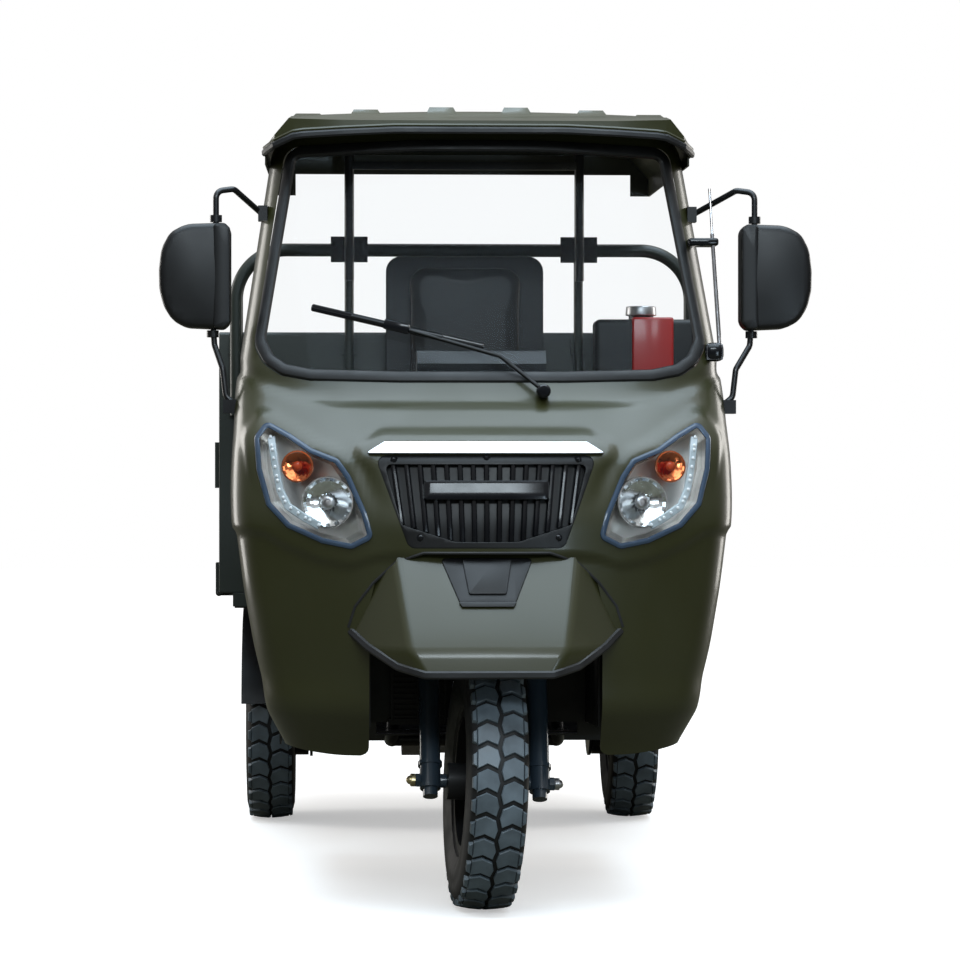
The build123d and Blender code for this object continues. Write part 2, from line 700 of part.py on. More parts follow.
def fuel_tank():
    """Rectangular tank on the front of the bed, with a metal cap and a strap."""
    front, rear, low, top = 1380, 1488, 1080, 1397
    tank = block(*TANK_X, front, rear, low, top)
    tank = fillet(tank.edges(), 14)
    neck = Pos(*FILLER, top + 6) * Cylinder(32, 14)
    cap = Pos(*FILLER, top + 23) * Cylinder(38, 22)
    strap = block(434, 534, front - 3, rear + 3, low - 4, top + 3) - block(434, 534, front, rear, low, top)
    shelf = block(340, 592, front + 20, BED_FRONT_Y, low - 10, low)
    return Part() + [tank, neck, cap, strap, shelf]


BED_REAR_Y = LENGTH - 15
SIDE_FRONT_Y = BED_FRONT_Y + PANEL_THICK + PANEL_GAP
SIDE_REAR_Y = BED_REAR_Y - PANEL_THICK - PANEL_GAP
HINGE_X = BED_HALF_WIDTH + 6
HINGE_Z = BED_FLOOR_Z - 10
SIDE_HINGES_Y = (1760, 2240, 2740, 3220)
TAIL_HINGES_X = (-420, 0, 420)
HINGE_TAIL_Y = BED_REAR_Y + 6


def bed_floor():
    """Floor sheet on cross members, with the edge rails that carry the hinges."""
    inner = BED_HALF_WIDTH - PANEL_THICK - PANEL_GAP
    sheet = block(-inner, inner, BED_FRONT_Y + PANEL_THICK, SIDE_REAR_Y, BED_FLOOR_Z - 4, BED_FLOOR_Z)
    edge = block(inner - 26, inner, BED_FRONT_Y, SIDE_REAR_Y, BED_FLOOR_Z - 40, BED_FLOOR_Z - 4)
    ends = [
        block(-inner, inner, BED_FRONT_Y, BED_FRONT_Y + 45, BED_FLOOR_Z - 40, BED_FLOOR_Z - 4),
        block(-inner, inner, SIDE_REAR_Y - 30, SIDE_REAR_Y, BED_FLOOR_Z - 40, BED_FLOOR_Z - 4),
    ]
    beams = [
        block(-inner, inner, y, y + 40, RAIL_TOP, BED_FLOOR_Z - 4) for y in range(1700, 3200, 290)
    ]
    lugs = []
    for y in SIDE_HINGES_Y:
        pin = bar((HINGE_X, y - 45, HINGE_Z), (HINGE_X, y + 45, HINGE_Z), HINGE_PIN_RADIUS)
        knuckle = bar((HINGE_X, y - 14, HINGE_Z), (HINGE_X, y + 14, HINGE_Z), HINGE_RADIUS)
        arm = block(inner, HINGE_X, y - 14, y + 14, HINGE_Z - 8, HINGE_Z)
        lug = Part() + [pin, knuckle, arm]
        lugs += [lug, mirrored(lug)]
    for x in TAIL_HINGES_X:
        pin = bar((x - 45, HINGE_TAIL_Y, HINGE_Z), (x + 45, HINGE_TAIL_Y, HINGE_Z), HINGE_PIN_RADIUS)
        knuckle = bar((x - 14, HINGE_TAIL_Y, HINGE_Z), (x + 14, HINGE_TAIL_Y, HINGE_Z), HINGE_RADIUS)
        arm = block(x - 14, x + 14, SIDE_REAR_Y, HINGE_TAIL_Y, HINGE_Z - 8, HINGE_Z)
        lugs.append(Part() + [pin, knuckle, arm])
    return Part() + [sheet, edge, mirrored(edge), *ends, *beams, *lugs]


def bed_front_panel():
    """Fixed headboard with pressed ribs."""
    inner = BED_HALF_WIDTH
    front = BED_FRONT_Y
    panel = block(-inner, inner, front, front + PANEL_THICK, BED_FLOOR_Z - 4, HEADBOARD_TOP)
    panel -= block(-inner + 60, inner - 60, front + 18, front + 40, BED_FLOOR_Z + 50, HEADBOARD_TOP - 50)
    return fillet(panel.edges().filter_by(Axis.X).group_by(Axis.Z)[-1], 8)


def bed_side_left():
    """Drop side with pressed ribs, a rounded top rail and its half of the hinges."""
    inner = BED_HALF_WIDTH - PANEL_THICK
    outer = BED_HALF_WIDTH
    skin = block(inner, inner + 12, SIDE_FRONT_Y, SIDE_REAR_Y, BED_FLOOR_Z, BED_SIDE_TOP)
    rim = block(inner, outer, SIDE_FRONT_Y, SIDE_REAR_Y, BED_FLOOR_Z, BED_SIDE_TOP)
    field = (BED_FLOOR_Z + 40, BED_SIDE_TOP - 40)
    rim -= block(inner + 11, outer + 1, SIDE_FRONT_Y + 40, SIDE_REAR_Y - 40, *field)
    rim = fillet(rim.edges().filter_by(Axis.Y).group_by(Axis.Z)[-1], 10)
    ribs = [
        block(inner + 11, outer - 4, y, y + 60, *field)
        for y in range(1730, 3250, 240)
    ]
    leaves = []
    for y in SIDE_HINGES_Y:
        for start, end in ((15, 36), (-36, -15)):
            leaves.append(bar((HINGE_X, y + start, HINGE_Z), (HINGE_X, y + end, HINGE_Z), HINGE_RADIUS))
            low, high = sorted((y + start, y + end))
            leaves.append(block(BED_HALF_WIDTH, HINGE_X + HINGE_RADIUS, low, high, HINGE_Z, HINGE_Z + 80))
    bore = HINGE_PIN_RADIUS + HINGE_CLEARANCE
    bores = [bar((HINGE_X, y - 50, HINGE_Z), (HINGE_X, y + 50, HINGE_Z), bore) for y in SIDE_HINGES_Y]
    latch = block(outer, outer + 12, SIDE_FRONT_Y + 6, SIDE_FRONT_Y + 30, 960, 1080)
    return (Part() + [skin, rim, *ribs, *leaves, latch]) - (Part() + bores)


def tailgate():
    """Rear drop gate, hinged like the sides."""
    front = BED_REAR_Y - PANEL_THICK
    outer = BED_REAR_Y
    half = BED_HALF_WIDTH
    skin = block(-half, half, front, front + 12, BED_FLOOR_Z, BED_SIDE_TOP)
    rim = block(-half, half, front, outer, BED_FLOOR_Z, BED_SIDE_TOP)
    field = (BED_FLOOR_Z + 40, BED_SIDE_TOP - 40)
    rim -= block(-half + 40, half - 40, front + 11, outer + 1, *field)
    rim = fillet(rim.edges().filter_by(Axis.X).group_by(Axis.Z)[-1], 10)
    ribs = [block(x, x + 60, front + 11, outer - 4, *field) for x in range(-510, 500, 240)]
    leaves = []
    for x in TAIL_HINGES_X:
        for start, end in ((15, 36), (-36, -15)):
            from_end = (x + start, HINGE_TAIL_Y, HINGE_Z)
            leaves.append(bar(from_end, (x + end, HINGE_TAIL_Y, HINGE_Z), HINGE_RADIUS))
            low, high = sorted((x + start, x + end))
            leaves.append(block(low, high, outer, HINGE_TAIL_Y + HINGE_RADIUS, HINGE_Z, HINGE_Z + 80))
    bore = HINGE_PIN_RADIUS + HINGE_CLEARANCE
    y, z = HINGE_TAIL_Y, HINGE_Z
    bores = [bar((x - 50, y, z), (x + 50, y, z), bore) for x in TAIL_HINGES_X]
    return (Part() + [skin, rim, *ribs, *leaves]) - (Part() + bores)


def bed_guard_hoop():
    """Tube hoop on the headboard with two inner uprights."""
    y = BED_FRONT_Y - HOOP_RADIUS
    hoop = tube(
        ((HOOP_HALF_WIDTH, y, 1150), (HOOP_HALF_WIDTH, y, HOOP_TOP_Z), (-HOOP_HALF_WIDTH, y, HOOP_TOP_Z),
         (-HOOP_HALF_WIDTH, y, 1150)), HOOP_RADIUS, 130,
    )
    upright = bar((POST_X, y, 1150), (POST_X, y, HOOP_TOP_Z), 12)
    pads = [
        block(x - 20, x + 20, y, BED_FRONT_Y, z, z + 40)
        for x in (-HOOP_HALF_WIDTH, -POST_X, POST_X, HOOP_HALF_WIDTH) for z in (1165, 1310)
    ]
    return Part() + [hoop, upright, mirrored(upright), *pads]


AXLE_TUBE_RADIUS = 32
AXLE_TUBE_HALF = 400


def rear_axle():
    """Axle tube with the differential, brake plates and the propeller shaft."""
    half = AXLE_TUBE_HALF
    beam = disc(AXLE_TUBE_RADIUS, -half, half, REAR_AXLE_Y, AXLE_Z)
    differential = Pos(0, REAR_AXLE_Y, AXLE_Z) * Sphere(105)
    differential &= block(-90, 90, REAR_AXLE_Y - 110, REAR_AXLE_Y + 110, 150, 430)
    nose = bar((0, REAR_AXLE_Y - 60, AXLE_Z), (0, REAR_AXLE_Y - 170, AXLE_Z + 10), 42)
    shaft = bar((0, REAR_AXLE_Y - 170, AXLE_Z + 10), (0, 1386, ENGINE_OUTPUT_Z), 24)
    flange = bar((0, 1380, ENGINE_OUTPUT_Z), (0, 1392, ENGINE_OUTPUT_Z), 34)
    shaft = shaft - block(-60, 60, 1300, 1381, 300, 500) + flange
    plates = [disc(112, side * half, side * (half + 8), REAR_AXLE_Y, AXLE_Z) for side in (-1, 1)]
    stubs = [disc(16, side * half, side * 560, REAR_AXLE_Y, AXLE_Z) for side in (-1, 1)]
    return Part() + [beam, differential, nose, shaft, *plates, *stubs]


LEAF_HALF_LENGTHS = (380, 330, 270, 210, 150)
LEAF_THICK = 9
LEAF_HALF_WIDTH = 25
SPRING_SAG = 60
SPRING_LOW_Z = AXLE_Z + 44
SPRING_EYE_REACH = 390


def leaf_springs():
    """Two leaf packs under the rails with their eyes and hangers."""
    x, y = RAIL_X, REAR_AXLE_Y
    longest = LEAF_HALF_LENGTHS[0]
    radius = (longest**2 + SPRING_SAG**2) / (2 * SPRING_SAG)
    leaves = []
    for i, half in enumerate(LEAF_HALF_LENGTHS):
        top = SPRING_LOW_Z + (len(LEAF_HALF_LENGTHS) - 1 - i) * LEAF_THICK
        end_z = top + radius - radius * math.cos(math.asin(half / radius))
        low, low_end_z = top - LEAF_THICK, end_z - LEAF_THICK
        outline = Curve() + [
            ThreePointArc((y - half, end_z), (y, top), (y + half, end_z)),
            Line((y + half, end_z), (y + half, low_end_z)),
            ThreePointArc((y + half, low_end_z), (y, low), (y - half, low_end_z)),
            Line((y - half, low_end_z), (y - half, end_z)),
        ]
        face = Pos(x - LEAF_HALF_WIDTH, 0, 0) * (Plane.YZ * make_face(outline))
        leaves.append(extrude(face, amount=2 * LEAF_HALF_WIDTH, dir=(1, 0, 0)))
    eye_z = SPRING_LOW_Z + 4 * LEAF_THICK + SPRING_SAG
    ends_y = (y - SPRING_EYE_REACH, y + SPRING_EYE_REACH)
    eyes = [disc(16, x - LEAF_HALF_WIDTH, x + LEAF_HALF_WIDTH, end, eye_z) for end in ends_y]
    hangers = [block(x - 20, x + 20, end - 14, end + 14, eye_z, 560) for end in ends_y]
    saddle = block(x - 30, x + 30, y - 40, y + 40, AXLE_Z + 20, AXLE_Z + 36)
    axle_tube = disc(AXLE_TUBE_RADIUS, -AXLE_TUBE_HALF, AXLE_TUBE_HALF, y, AXLE_Z)
    return pair((Part() + [*leaves, *eyes, *hangers, saddle]) - axle_tube)


def rear_mudguards():
    """Curved guards over the rear wheels, hung from the bed's rails."""
    inner_radius, wall = 326, 4
    inside = disc(inner_radius, 400, 640, REAR_AXLE_Y, AXLE_Z)
    ring = disc(inner_radius + wall, 440, 600, REAR_AXLE_Y, AXLE_Z) - inside
    ring &= block(400, 640, REAR_AXLE_Y - 400, REAR_AXLE_Y + 400, AXLE_Z + 60, 700)
    stay = block(300, 470, REAR_AXLE_Y - 15, REAR_AXLE_Y + 15, 612, 618)
    return pair(ring + (stay - inside))


def rear_lamps():
    """Tail lamps at the ends of the rear cross bar."""
    lamp = block(470, 590, RAIL_REAR_Y + 32, RAIL_REAR_Y + 56, 560, 628)
    return pair(fillet(lamp.edges().filter_by(Axis.Y), 12))


def rear_bumper():
    """Cross bar under the tail with a bracket for the number plate."""
    front = RAIL_REAR_Y + 32
    cross = block(-600, 600, RAIL_REAR_Y, front, 570, 618)
    plate = block(-120, 120, front, front + 4, 540, 640)
    holes = [Pos(x, front, 590) * Rot(90, 0, 0) * Cylinder(PLATE_HOLE_RADIUS, 80) for x in (-70, 70)]
    return (cross + plate) - (Part() + holes)


def tyre_profile():
    """Half section of the tyre: bead, bulged side, shoulder and a slightly round tread."""
    crown, tread_half, crown_radius = TYRE_RADIUS, 54, 255
    edge = crown - crown_radius + math.sqrt(crown_radius**2 - tread_half**2)
    side = TYRE_WIDTH / 2
    bead = RIM_HALF_WIDTH
    right = [
        Line((bead, RIM_SEAT_RADIUS), (bead, FLANGE_RADIUS)),
        ThreePointArc((bead, FLANGE_RADIUS), (side, 222), (63, 268)),
        Line((63, 268), (tread_half, edge)),
    ]
    left = [
        Line((-tread_half, edge), (-63, 268)),
        ThreePointArc((-63, 268), (-side, 222), (-bead, FLANGE_RADIUS)),
        Line((-bead, FLANGE_RADIUS), (-bead, RIM_SEAT_RADIUS)),
    ]
    crown_arc = ThreePointArc((tread_half, edge), (0, crown), (-tread_half, edge))
    base = Line((-bead, RIM_SEAT_RADIUS), (bead, RIM_SEAT_RADIUS))
    return make_face(Curve() + [*right, crown_arc, *left, base])


def tyre():
    return revolve(Plane.XZ * tyre_profile(), axis=Axis.X)


def rim(disc_x, hub_half, hub_radius, bore_radius):
    """Steel wheel: a flanged barrel, a dished disc with round openings and the hub."""
    flange = 4
    half, seat = RIM_HALF_WIDTH, RIM_SEAT_RADIUS
    barrel = Polyline(
        (-half - flange, FLANGE_RADIUS), (-half, FLANGE_RADIUS), (-half, seat), (half, seat),
        (half, FLANGE_RADIUS), (half + flange, FLANGE_RADIUS),
        (half + flange, seat - 5), (-half - flange, seat - 5),
        close=True,
    )
    dish = Polyline(
        (disc_x, seat - 4), (disc_x + 14, 110), (disc_x, 80), (disc_x, hub_radius - 2),
        (disc_x + 5, hub_radius - 2), (disc_x + 5, 80), (disc_x + 20, 112), (disc_x + 6, seat - 4),
        close=True,
    )
    wheel = revolve(Plane.XZ * make_face(barrel), axis=Axis.X)
    wheel += revolve(Plane.XZ * make_face(dish), axis=Axis.X)
    count = 8
    for i in range(count):
        wheel -= Rot(360 / count * i, 0, 0) * Pos(disc_x + 10, 0, 118) * Rot(0, 90, 0) * Cylinder(14, 60)
    wheel += disc(hub_radius, -hub_half, hub_half, 0, 0)
    return wheel - disc(bore_radius, -300, 300, 0, 0)


def steered(shape):
    """Turn a piece of the steering to the angle at which it stands."""
    return (Part() + shape).rotate(STEER_AXIS, STEER_AT_REST)


def front_tyre():
    return steered(Pos(0, FRONT_AXLE_Y, AXLE_Z) * tyre())


def front_rim():
    """Front wheel with its brake drum."""
    wheel = rim(-4, 88, 42, 10.5) + (disc(85, 40, 86, 0, 0) - disc(10.5, -300, 300, 0, 0))
    return steered(Pos(0, FRONT_AXLE_Y, AXLE_Z) * wheel)


def rear_tyre(side):
    return Pos(side * REAR_TRACK_HALF, REAR_AXLE_Y, AXLE_Z) * tyre()


def rear_rim(side):
    """Rear wheel with its brake drum."""
    drum = disc(108, -108, -20, 0, 0)
    wheel = rim(-24, 46, 50, 17) + (drum - disc(17, -300, 300, 0, 0) - disc(100, -120, -40, 0, 0))
    wheel = Pos(REAR_TRACK_HALF, REAR_AXLE_Y, AXLE_Z) * wheel
    return wheel if side > 0 else mirrored(wheel)


def front_fork():
    """Telescopic legs, lower and upper clamps, the stem and the axle between the lugs."""
    legs = []
    for side in (-1, 1):
        x = side * FORK_LEG_X
        legs += [
            Pos(x, 0, 130) * Cylinder(24, 300),
            Pos(x, 0, 288) * Cylinder(28, 18),
            Pos(x, 0, 520) * Cylinder(18, 500),
            Pos(x, 0, -24) * Cylinder(17, 30),
            Pos(x, 0, 40) * Cylinder(28, 10),
        ]
    plate = RectangleRounded(2 * FORK_LEG_X + 60, 60, 28)
    plate += Pos(0, FORK_OFFSET / 2) * RectangleRounded(110, 110, 30)
    lower = Pos(0, 0, LOWER_CLAMP) * extrude(plate, amount=CLAMP_THICK)
    upper = Pos(0, 0, UPPER_CLAMP) * extrude(plate, amount=UPPER_CLAMP_THICK)
    stem = Pos(0, FORK_OFFSET, LOWER_CLAMP) * Cylinder(
        STEM_RADIUS, UPPER_CLAMP - LOWER_CLAMP + 40, align=(Align.CENTER, Align.CENTER, Align.MIN)
    )
    axle = disc(10, -160, 160, 0, 0)
    spacers = [disc(16, side * 90, side * 104, 0, 0) for side in (-1, 1)]
    nut = extrude(RegularPolygon(16, 6), amount=6, both=True)
    nuts = [Pos(side * 154, 0, 0) * Rot(0, 90, 0) * nut for side in (-1, 1)]
    return steered(FORK_PLANE * (Part() + [*legs, lower, upper, stem, axle, *spacers, *nuts]))


RISER_HEIGHT = 96
PEDAL_X = 290
HANDLEBAR = ((315, 850, 1052), (190, 800, 1070), (60, 745, 1035))


def handlebar():
    """Swept-back bar on two risers."""
    left = [*HANDLEBAR]
    right = [(-x, y, z) for x, y, z in reversed(HANDLEBAR)]
    bent = tube((*left, *right), 11, 25)
    base = UPPER_CLAMP + UPPER_CLAMP_THICK
    riser = Cylinder(14, RISER_HEIGHT, align=(Align.CENTER, Align.CENTER, Align.MIN))
    risers = [FORK_PLANE * Pos(x, FORK_OFFSET + 1, base) * riser for x in (-40, 40)]
    return steered(Part() + [bent, *risers])


def handlebar_grips():
    """Rubber grips on the ends of the bar."""
    start, end = Vector(HANDLEBAR[0]), Vector(HANDLEBAR[1])
    along = (start - end).normalized()
    grip = bar(tuple(start + along * 12), tuple(start - along * 105), 16)
    core = bar(tuple(start), tuple(start - along * 200), 11)
    return steered(pair(grip - core))


def pedals():
    """Foot brake on the right and gear pedal on the left, each on a post from the floor."""
    posts = [tube(((x, 705, FLOOR_Z), (x, 730, 450), (x, 800, 480)), 8, 20) for x in (-PEDAL_X, PEDAL_X)]
    brake = block(-PEDAL_X - 35, -PEDAL_X + 35, 792, 802, 450, 512)
    toe = block(PEDAL_X - 16, PEDAL_X + 34, 780, 816, 474, 488)
    return (Part() + [*posts, brake, toe]) - block(-400, 400, 600, 900, 300, FLOOR_Z)


NODES = {
    "cab_shell": cab_shell,
    "grille": grille,
    "grille_trim": grille_trim,
    "headlamp_housings": headlamp_housings,
    "headlamp_lenses": headlamp_lenses,
    "nose_fender": nose_fender,
    "nose_fender_lip": nose_fender_lip,
    "nose_vent": nose_vent,
    "cab_glass": cab_glass,
    "windshield_seal": windshield_seal,
    "wiper": wiper,
    "roof_panel": roof_panel,
    "roof_edge_trim": roof_edge_trim,
    "roof_posts": roof_posts,
    "dashboard": dashboard,
    "wheel_well": wheel_well,
    "floor_pan": floor_pan,
    "mirror_arms": mirror_arms,
    "mirror_heads": mirror_heads,
    "mirror_glasses": mirror_glasses,
    "antenna": antenna,
    "main_frame": main_frame,
    "engine": engine,
    "radiator": radiator,
    "exhaust": exhaust,
    "seat_base": seat_base,
    "seat_cushion": seat_cushion,
    "seat_backrest": seat_backrest,
    "backrest_panel": backrest_panel,
    "fuel_tank": fuel_tank,
    "bed_floor": bed_floor,
    "bed_front_panel": bed_front_panel,
    "bed_guard_hoop": bed_guard_hoop,
    "bed_side_left": bed_side_left,
    "bed_side_right": lambda: mirrored(bed_side_left()),
    "tailgate": tailgate,
    "rear_axle": rear_axle,
    "leaf_springs": leaf_springs,
    "rear_mudguards": rear_mudguards,
    "rear_bumper": rear_bumper,
    "rear_lamps": rear_lamps,
    "rear_tyre_left": lambda: rear_tyre(1),
    "rear_tyre_right": lambda: rear_tyre(-1),
    "rear_rim_left": lambda: rear_rim(1),
    "rear_rim_right": lambda: rear_rim(-1),
    "front_fork": front_fork,
    "front_tyre": front_tyre,
    "front_rim": front_rim,
    "handlebar": handlebar,
    "handlebar_grips": handlebar_grips,
    "pedals": pedals,
}

os.makedirs("parts", exist_ok=True)
for name, make in NODES.items():
    shape = Pos(0, -LENGTH / 2, 0) * make()
    export_step(shape, f"parts/{name}.step")
    print(name, round(shape.volume / 1000), "cm3", len(shape.solids()), "solids")
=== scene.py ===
# %% [markdown]
# # An enclosed cargo tricycle, dressed for the studio
# The vehicle's pieces come from a construction model, at their real size and place. This lesson
# adds what that model leaves plain: painted skins with soft creases, lamps, tyre treads, padding
# and a finish on every surface. Each step first says what the real piece is and how it is made.

# %% Load the frame
import json
import math
import bmesh
import bpy
from mathutils import Matrix, Vector

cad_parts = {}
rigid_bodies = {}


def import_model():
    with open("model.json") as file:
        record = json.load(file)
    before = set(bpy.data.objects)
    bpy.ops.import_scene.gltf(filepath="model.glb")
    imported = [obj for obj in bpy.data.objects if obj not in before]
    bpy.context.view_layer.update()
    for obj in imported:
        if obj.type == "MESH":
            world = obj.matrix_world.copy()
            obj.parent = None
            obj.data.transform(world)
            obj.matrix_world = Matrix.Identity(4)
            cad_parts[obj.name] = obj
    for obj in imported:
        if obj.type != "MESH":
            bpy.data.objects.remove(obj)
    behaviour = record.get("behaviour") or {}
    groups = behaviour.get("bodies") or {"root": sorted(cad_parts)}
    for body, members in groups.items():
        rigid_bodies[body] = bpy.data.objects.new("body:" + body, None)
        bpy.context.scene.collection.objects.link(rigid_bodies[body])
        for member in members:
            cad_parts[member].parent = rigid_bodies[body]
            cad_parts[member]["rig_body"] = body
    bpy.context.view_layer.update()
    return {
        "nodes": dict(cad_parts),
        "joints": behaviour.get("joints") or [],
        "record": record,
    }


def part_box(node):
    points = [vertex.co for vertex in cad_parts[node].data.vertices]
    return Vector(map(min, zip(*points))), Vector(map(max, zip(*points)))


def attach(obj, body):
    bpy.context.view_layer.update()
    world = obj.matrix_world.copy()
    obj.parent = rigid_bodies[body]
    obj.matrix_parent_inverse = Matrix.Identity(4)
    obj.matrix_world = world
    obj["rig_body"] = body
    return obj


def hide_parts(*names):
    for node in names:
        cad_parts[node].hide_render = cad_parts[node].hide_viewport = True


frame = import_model()
nodes = frame["nodes"]
slots = {part["node"]: part["material_slot"] for part in frame["record"]["subparts"]}

# %% [markdown]
# The sizes below are in millimetres, as a drawing would give them, with y counted rearwards from
# the tip of the nose. `at` turns such a place into the frame's metres, whose origin is at mid-length.

# %% Places in millimetres
NOSE_TO_ORIGIN = 1725
MM = 0.001


def at(x, y, z):
    """A place given in millimetres from the tip of the nose, in metres in the frame."""
    return Vector((x, y - NOSE_TO_ORIGIN, z)) * MM


# %% [markdown]
# ## Camera
# The photograph was taken square to the front with a long lens, from about eight metres, a little
# to the vehicle's right. A long lens keeps the far parts nearly as large as the near ones.

# %% Camera
CAMERA_PLACE = at(-351, -7870, 981)
CAMERA_YAW = math.radians(-2.4)
LENS_PER_SENSOR = 3.7365
SENSOR = 36

camera_data = bpy.data.cameras.new("camera")
camera_data.sensor_width = SENSOR
camera_data.lens = SENSOR * LENS_PER_SENSOR
camera_data.clip_end = 100
camera = bpy.data.objects.new("camera", camera_data)
camera.location = CAMERA_PLACE
camera.rotation_euler = (math.pi / 2, 0, CAMERA_YAW)
bpy.context.scene.collection.objects.link(camera)
bpy.context.scene.camera = camera
print("lens", round(camera_data.lens, 1), "mm")

# %% [markdown]
# ## Finishes
# No real surface has one flat colour or one even gloss. Each finish is a small node tree that varies
# both with a noise pattern and raises a fine grain, and each helper adds one node to such a tree.

# %% Materials: the helpers
MATERIALS = {}
# nearly all of a noise pattern lies in this part of its range
NOISE_START, NOISE_END = 0.3, 0.7


def material(name, colour, roughness, metallic=0.0):
    """A material with one Principled shader and its node tree."""
    made = bpy.data.materials.new(name)
    made.use_nodes = True
    shader = made.node_tree.nodes["Principled BSDF"]
    shader.inputs["Base Color"].default_value = (*colour, 1)
    shader.inputs["Roughness"].default_value = roughness
    shader.inputs["Metallic"].default_value = metallic
    MATERIALS[name] = made
    return made, made.node_tree, shader


def noise(tree, scale, detail=3.0, squash=(1, 1, 1)):
    """A noise pattern on the object's own coordinates."""
    coordinates = tree.nodes.new("ShaderNodeTexCoord")
    mapping = tree.nodes.new("ShaderNodeMapping")
    mapping.inputs["Scale"].default_value = squash
    pattern = tree.nodes.new("ShaderNodeTexNoise")
    pattern.inputs["Scale"].default_value = scale
    pattern.inputs["Detail"].default_value = detail
    tree.links.new(coordinates.outputs["Object"], mapping.inputs["Vector"])
    tree.links.new(mapping.outputs["Vector"], pattern.inputs["Vector"])
    return pattern.outputs["Fac"]


def ramp(tree, source, low, high):
    """The source's middle range spread between two colours."""
    node = tree.nodes.new("ShaderNodeValToRGB")
    node.color_ramp.elements[0].position = NOISE_START
    node.color_ramp.elements[1].position = NOISE_END
    node.color_ramp.elements[0].color = (*low, 1)
    node.color_ramp.elements[1].color = (*high, 1)
    tree.links.new(source, node.inputs["Fac"])
    return node.outputs["Color"]


def spread(tree, source, low, high):
    """The source's middle range mapped to two numbers."""
    node = tree.nodes.new("ShaderNodeMapRange")
    node.inputs["From Min"].default_value = NOISE_START
    node.inputs["From Max"].default_value = NOISE_END
    node.inputs["To Min"].default_value = low
    node.inputs["To Max"].default_value = high
    tree.links.new(source, node.inputs["Value"])
    return node.outputs["Result"]


def bump(tree, shader, source, strength, distance):
    """A raised pattern, distance metres high at full strength."""
    node = tree.nodes.new("ShaderNodeBump")
    node.inputs["Strength"].default_value = strength
    node.inputs["Distance"].default_value = distance
    tree.links.new(source, node.inputs["Height"])
    tree.links.new(node.outputs["Normal"], shader.inputs["Normal"])


def shade(colour, factor):
    """A lighter or darker tone of a colour."""
    return tuple(min(channel * factor, 1) for channel in colour)


# %% [markdown]
# ## Paint, plastic, rubber and metal
# Real paint is never one flat colour: it is a little uneven, and its gloss changes where hands and
# dust have been. Each kind of surface has one function, which takes the colour and how rough it is.

# %% Materials: the kinds of surface


def paint(name, colour, rough=(0.3, 0.42), coat=0.4, peel=0.25):
    """Sprayed paint: a faint change of tone, uneven gloss, a coat and orange peel."""
    _, tree, shader = material(name, colour, sum(rough) / 2)
    tone = noise(tree, 2.2, 4)
    tree.links.new(ramp(tree, tone, shade(colour, 0.9), shade(colour, 1.08)), shader.inputs["Base Color"])
    smear = noise(tree, 7, 6, (1, 1, 0.6))
    tree.links.new(spread(tree, smear, *rough), shader.inputs["Roughness"])
    shader.inputs["Specular IOR Level"].default_value = 0.4
    shader.inputs["Coat Weight"].default_value = coat
    shader.inputs["Coat Roughness"].default_value = 0.14
    bump(tree, shader, noise(tree, 420, 1), peel, 0.00012)


def plastic(name, colour, rough=(0.45, 0.6), grain=900, height=0.0002):
    """Moulded plastic with a fine grain."""
    _, tree, shader = material(name, colour, sum(rough) / 2)
    shader.inputs["Specular IOR Level"].default_value = 0.4
    tone = noise(tree, 5, 3)
    tree.links.new(ramp(tree, tone, shade(colour, 0.85), shade(colour, 1.15)), shader.inputs["Base Color"])
    tree.links.new(spread(tree, noise(tree, 12, 5), *rough), shader.inputs["Roughness"])
    bump(tree, shader, noise(tree, grain, 2), 0.5, height)


def rubber(name, colour, rough=(0.6, 0.8)):
    """Rubber with a chalky bloom where it has dried."""
    _, tree, shader = material(name, colour, sum(rough) / 2)
    bloom = noise(tree, 18, 6)
    tree.links.new(ramp(tree, bloom, shade(colour, 0.8), shade(colour, 1.5)), shader.inputs["Base Color"])
    tree.links.new(spread(tree, bloom, *rough), shader.inputs["Roughness"])
    bump(tree, shader, noise(tree, 260, 4), 0.4, 0.0003)


def metal(name, colour, rough, scale, height=0.0001):
    """Bare, plated or cast metal, with a grain of its own scale."""
    _, tree, shader = material(name, colour, sum(rough) / 2, 1.0)
    pattern = noise(tree, scale, 5)
    tree.links.new(ramp(tree, pattern, shade(colour, 0.85), shade(colour, 1.1)), shader.inputs["Base Color"])
    tree.links.new(spread(tree, pattern, *rough), shader.inputs["Roughness"])
    bump(tree, shader, pattern, 0.4, height)


def clear(name, tint, rough=0.0, see=0.9):
    """Clear glass or lens plastic: light passes straight through and only the gloss is seen."""
    made, tree, shader = material(name, shade(tint, 0.05), rough)
    tree.links.new(spread(tree, noise(tree, 3, 3), rough, rough + 0.03), shader.inputs["Roughness"])
    shader.inputs["Specular IOR Level"].default_value = 0.8
    through = tree.nodes.new("ShaderNodeBsdfTransparent")
    through.inputs["Color"].default_value = (*tint, 1)
    mix = tree.nodes.new("ShaderNodeMixShader")
    mix.inputs["Fac"].default_value = see
    tree.links.new(shader.outputs["BSDF"], mix.inputs[1])
    tree.links.new(through.outputs["BSDF"], mix.inputs[2])
    tree.links.new(mix.outputs["Shader"], tree.nodes["Material Output"].inputs["Surface"])


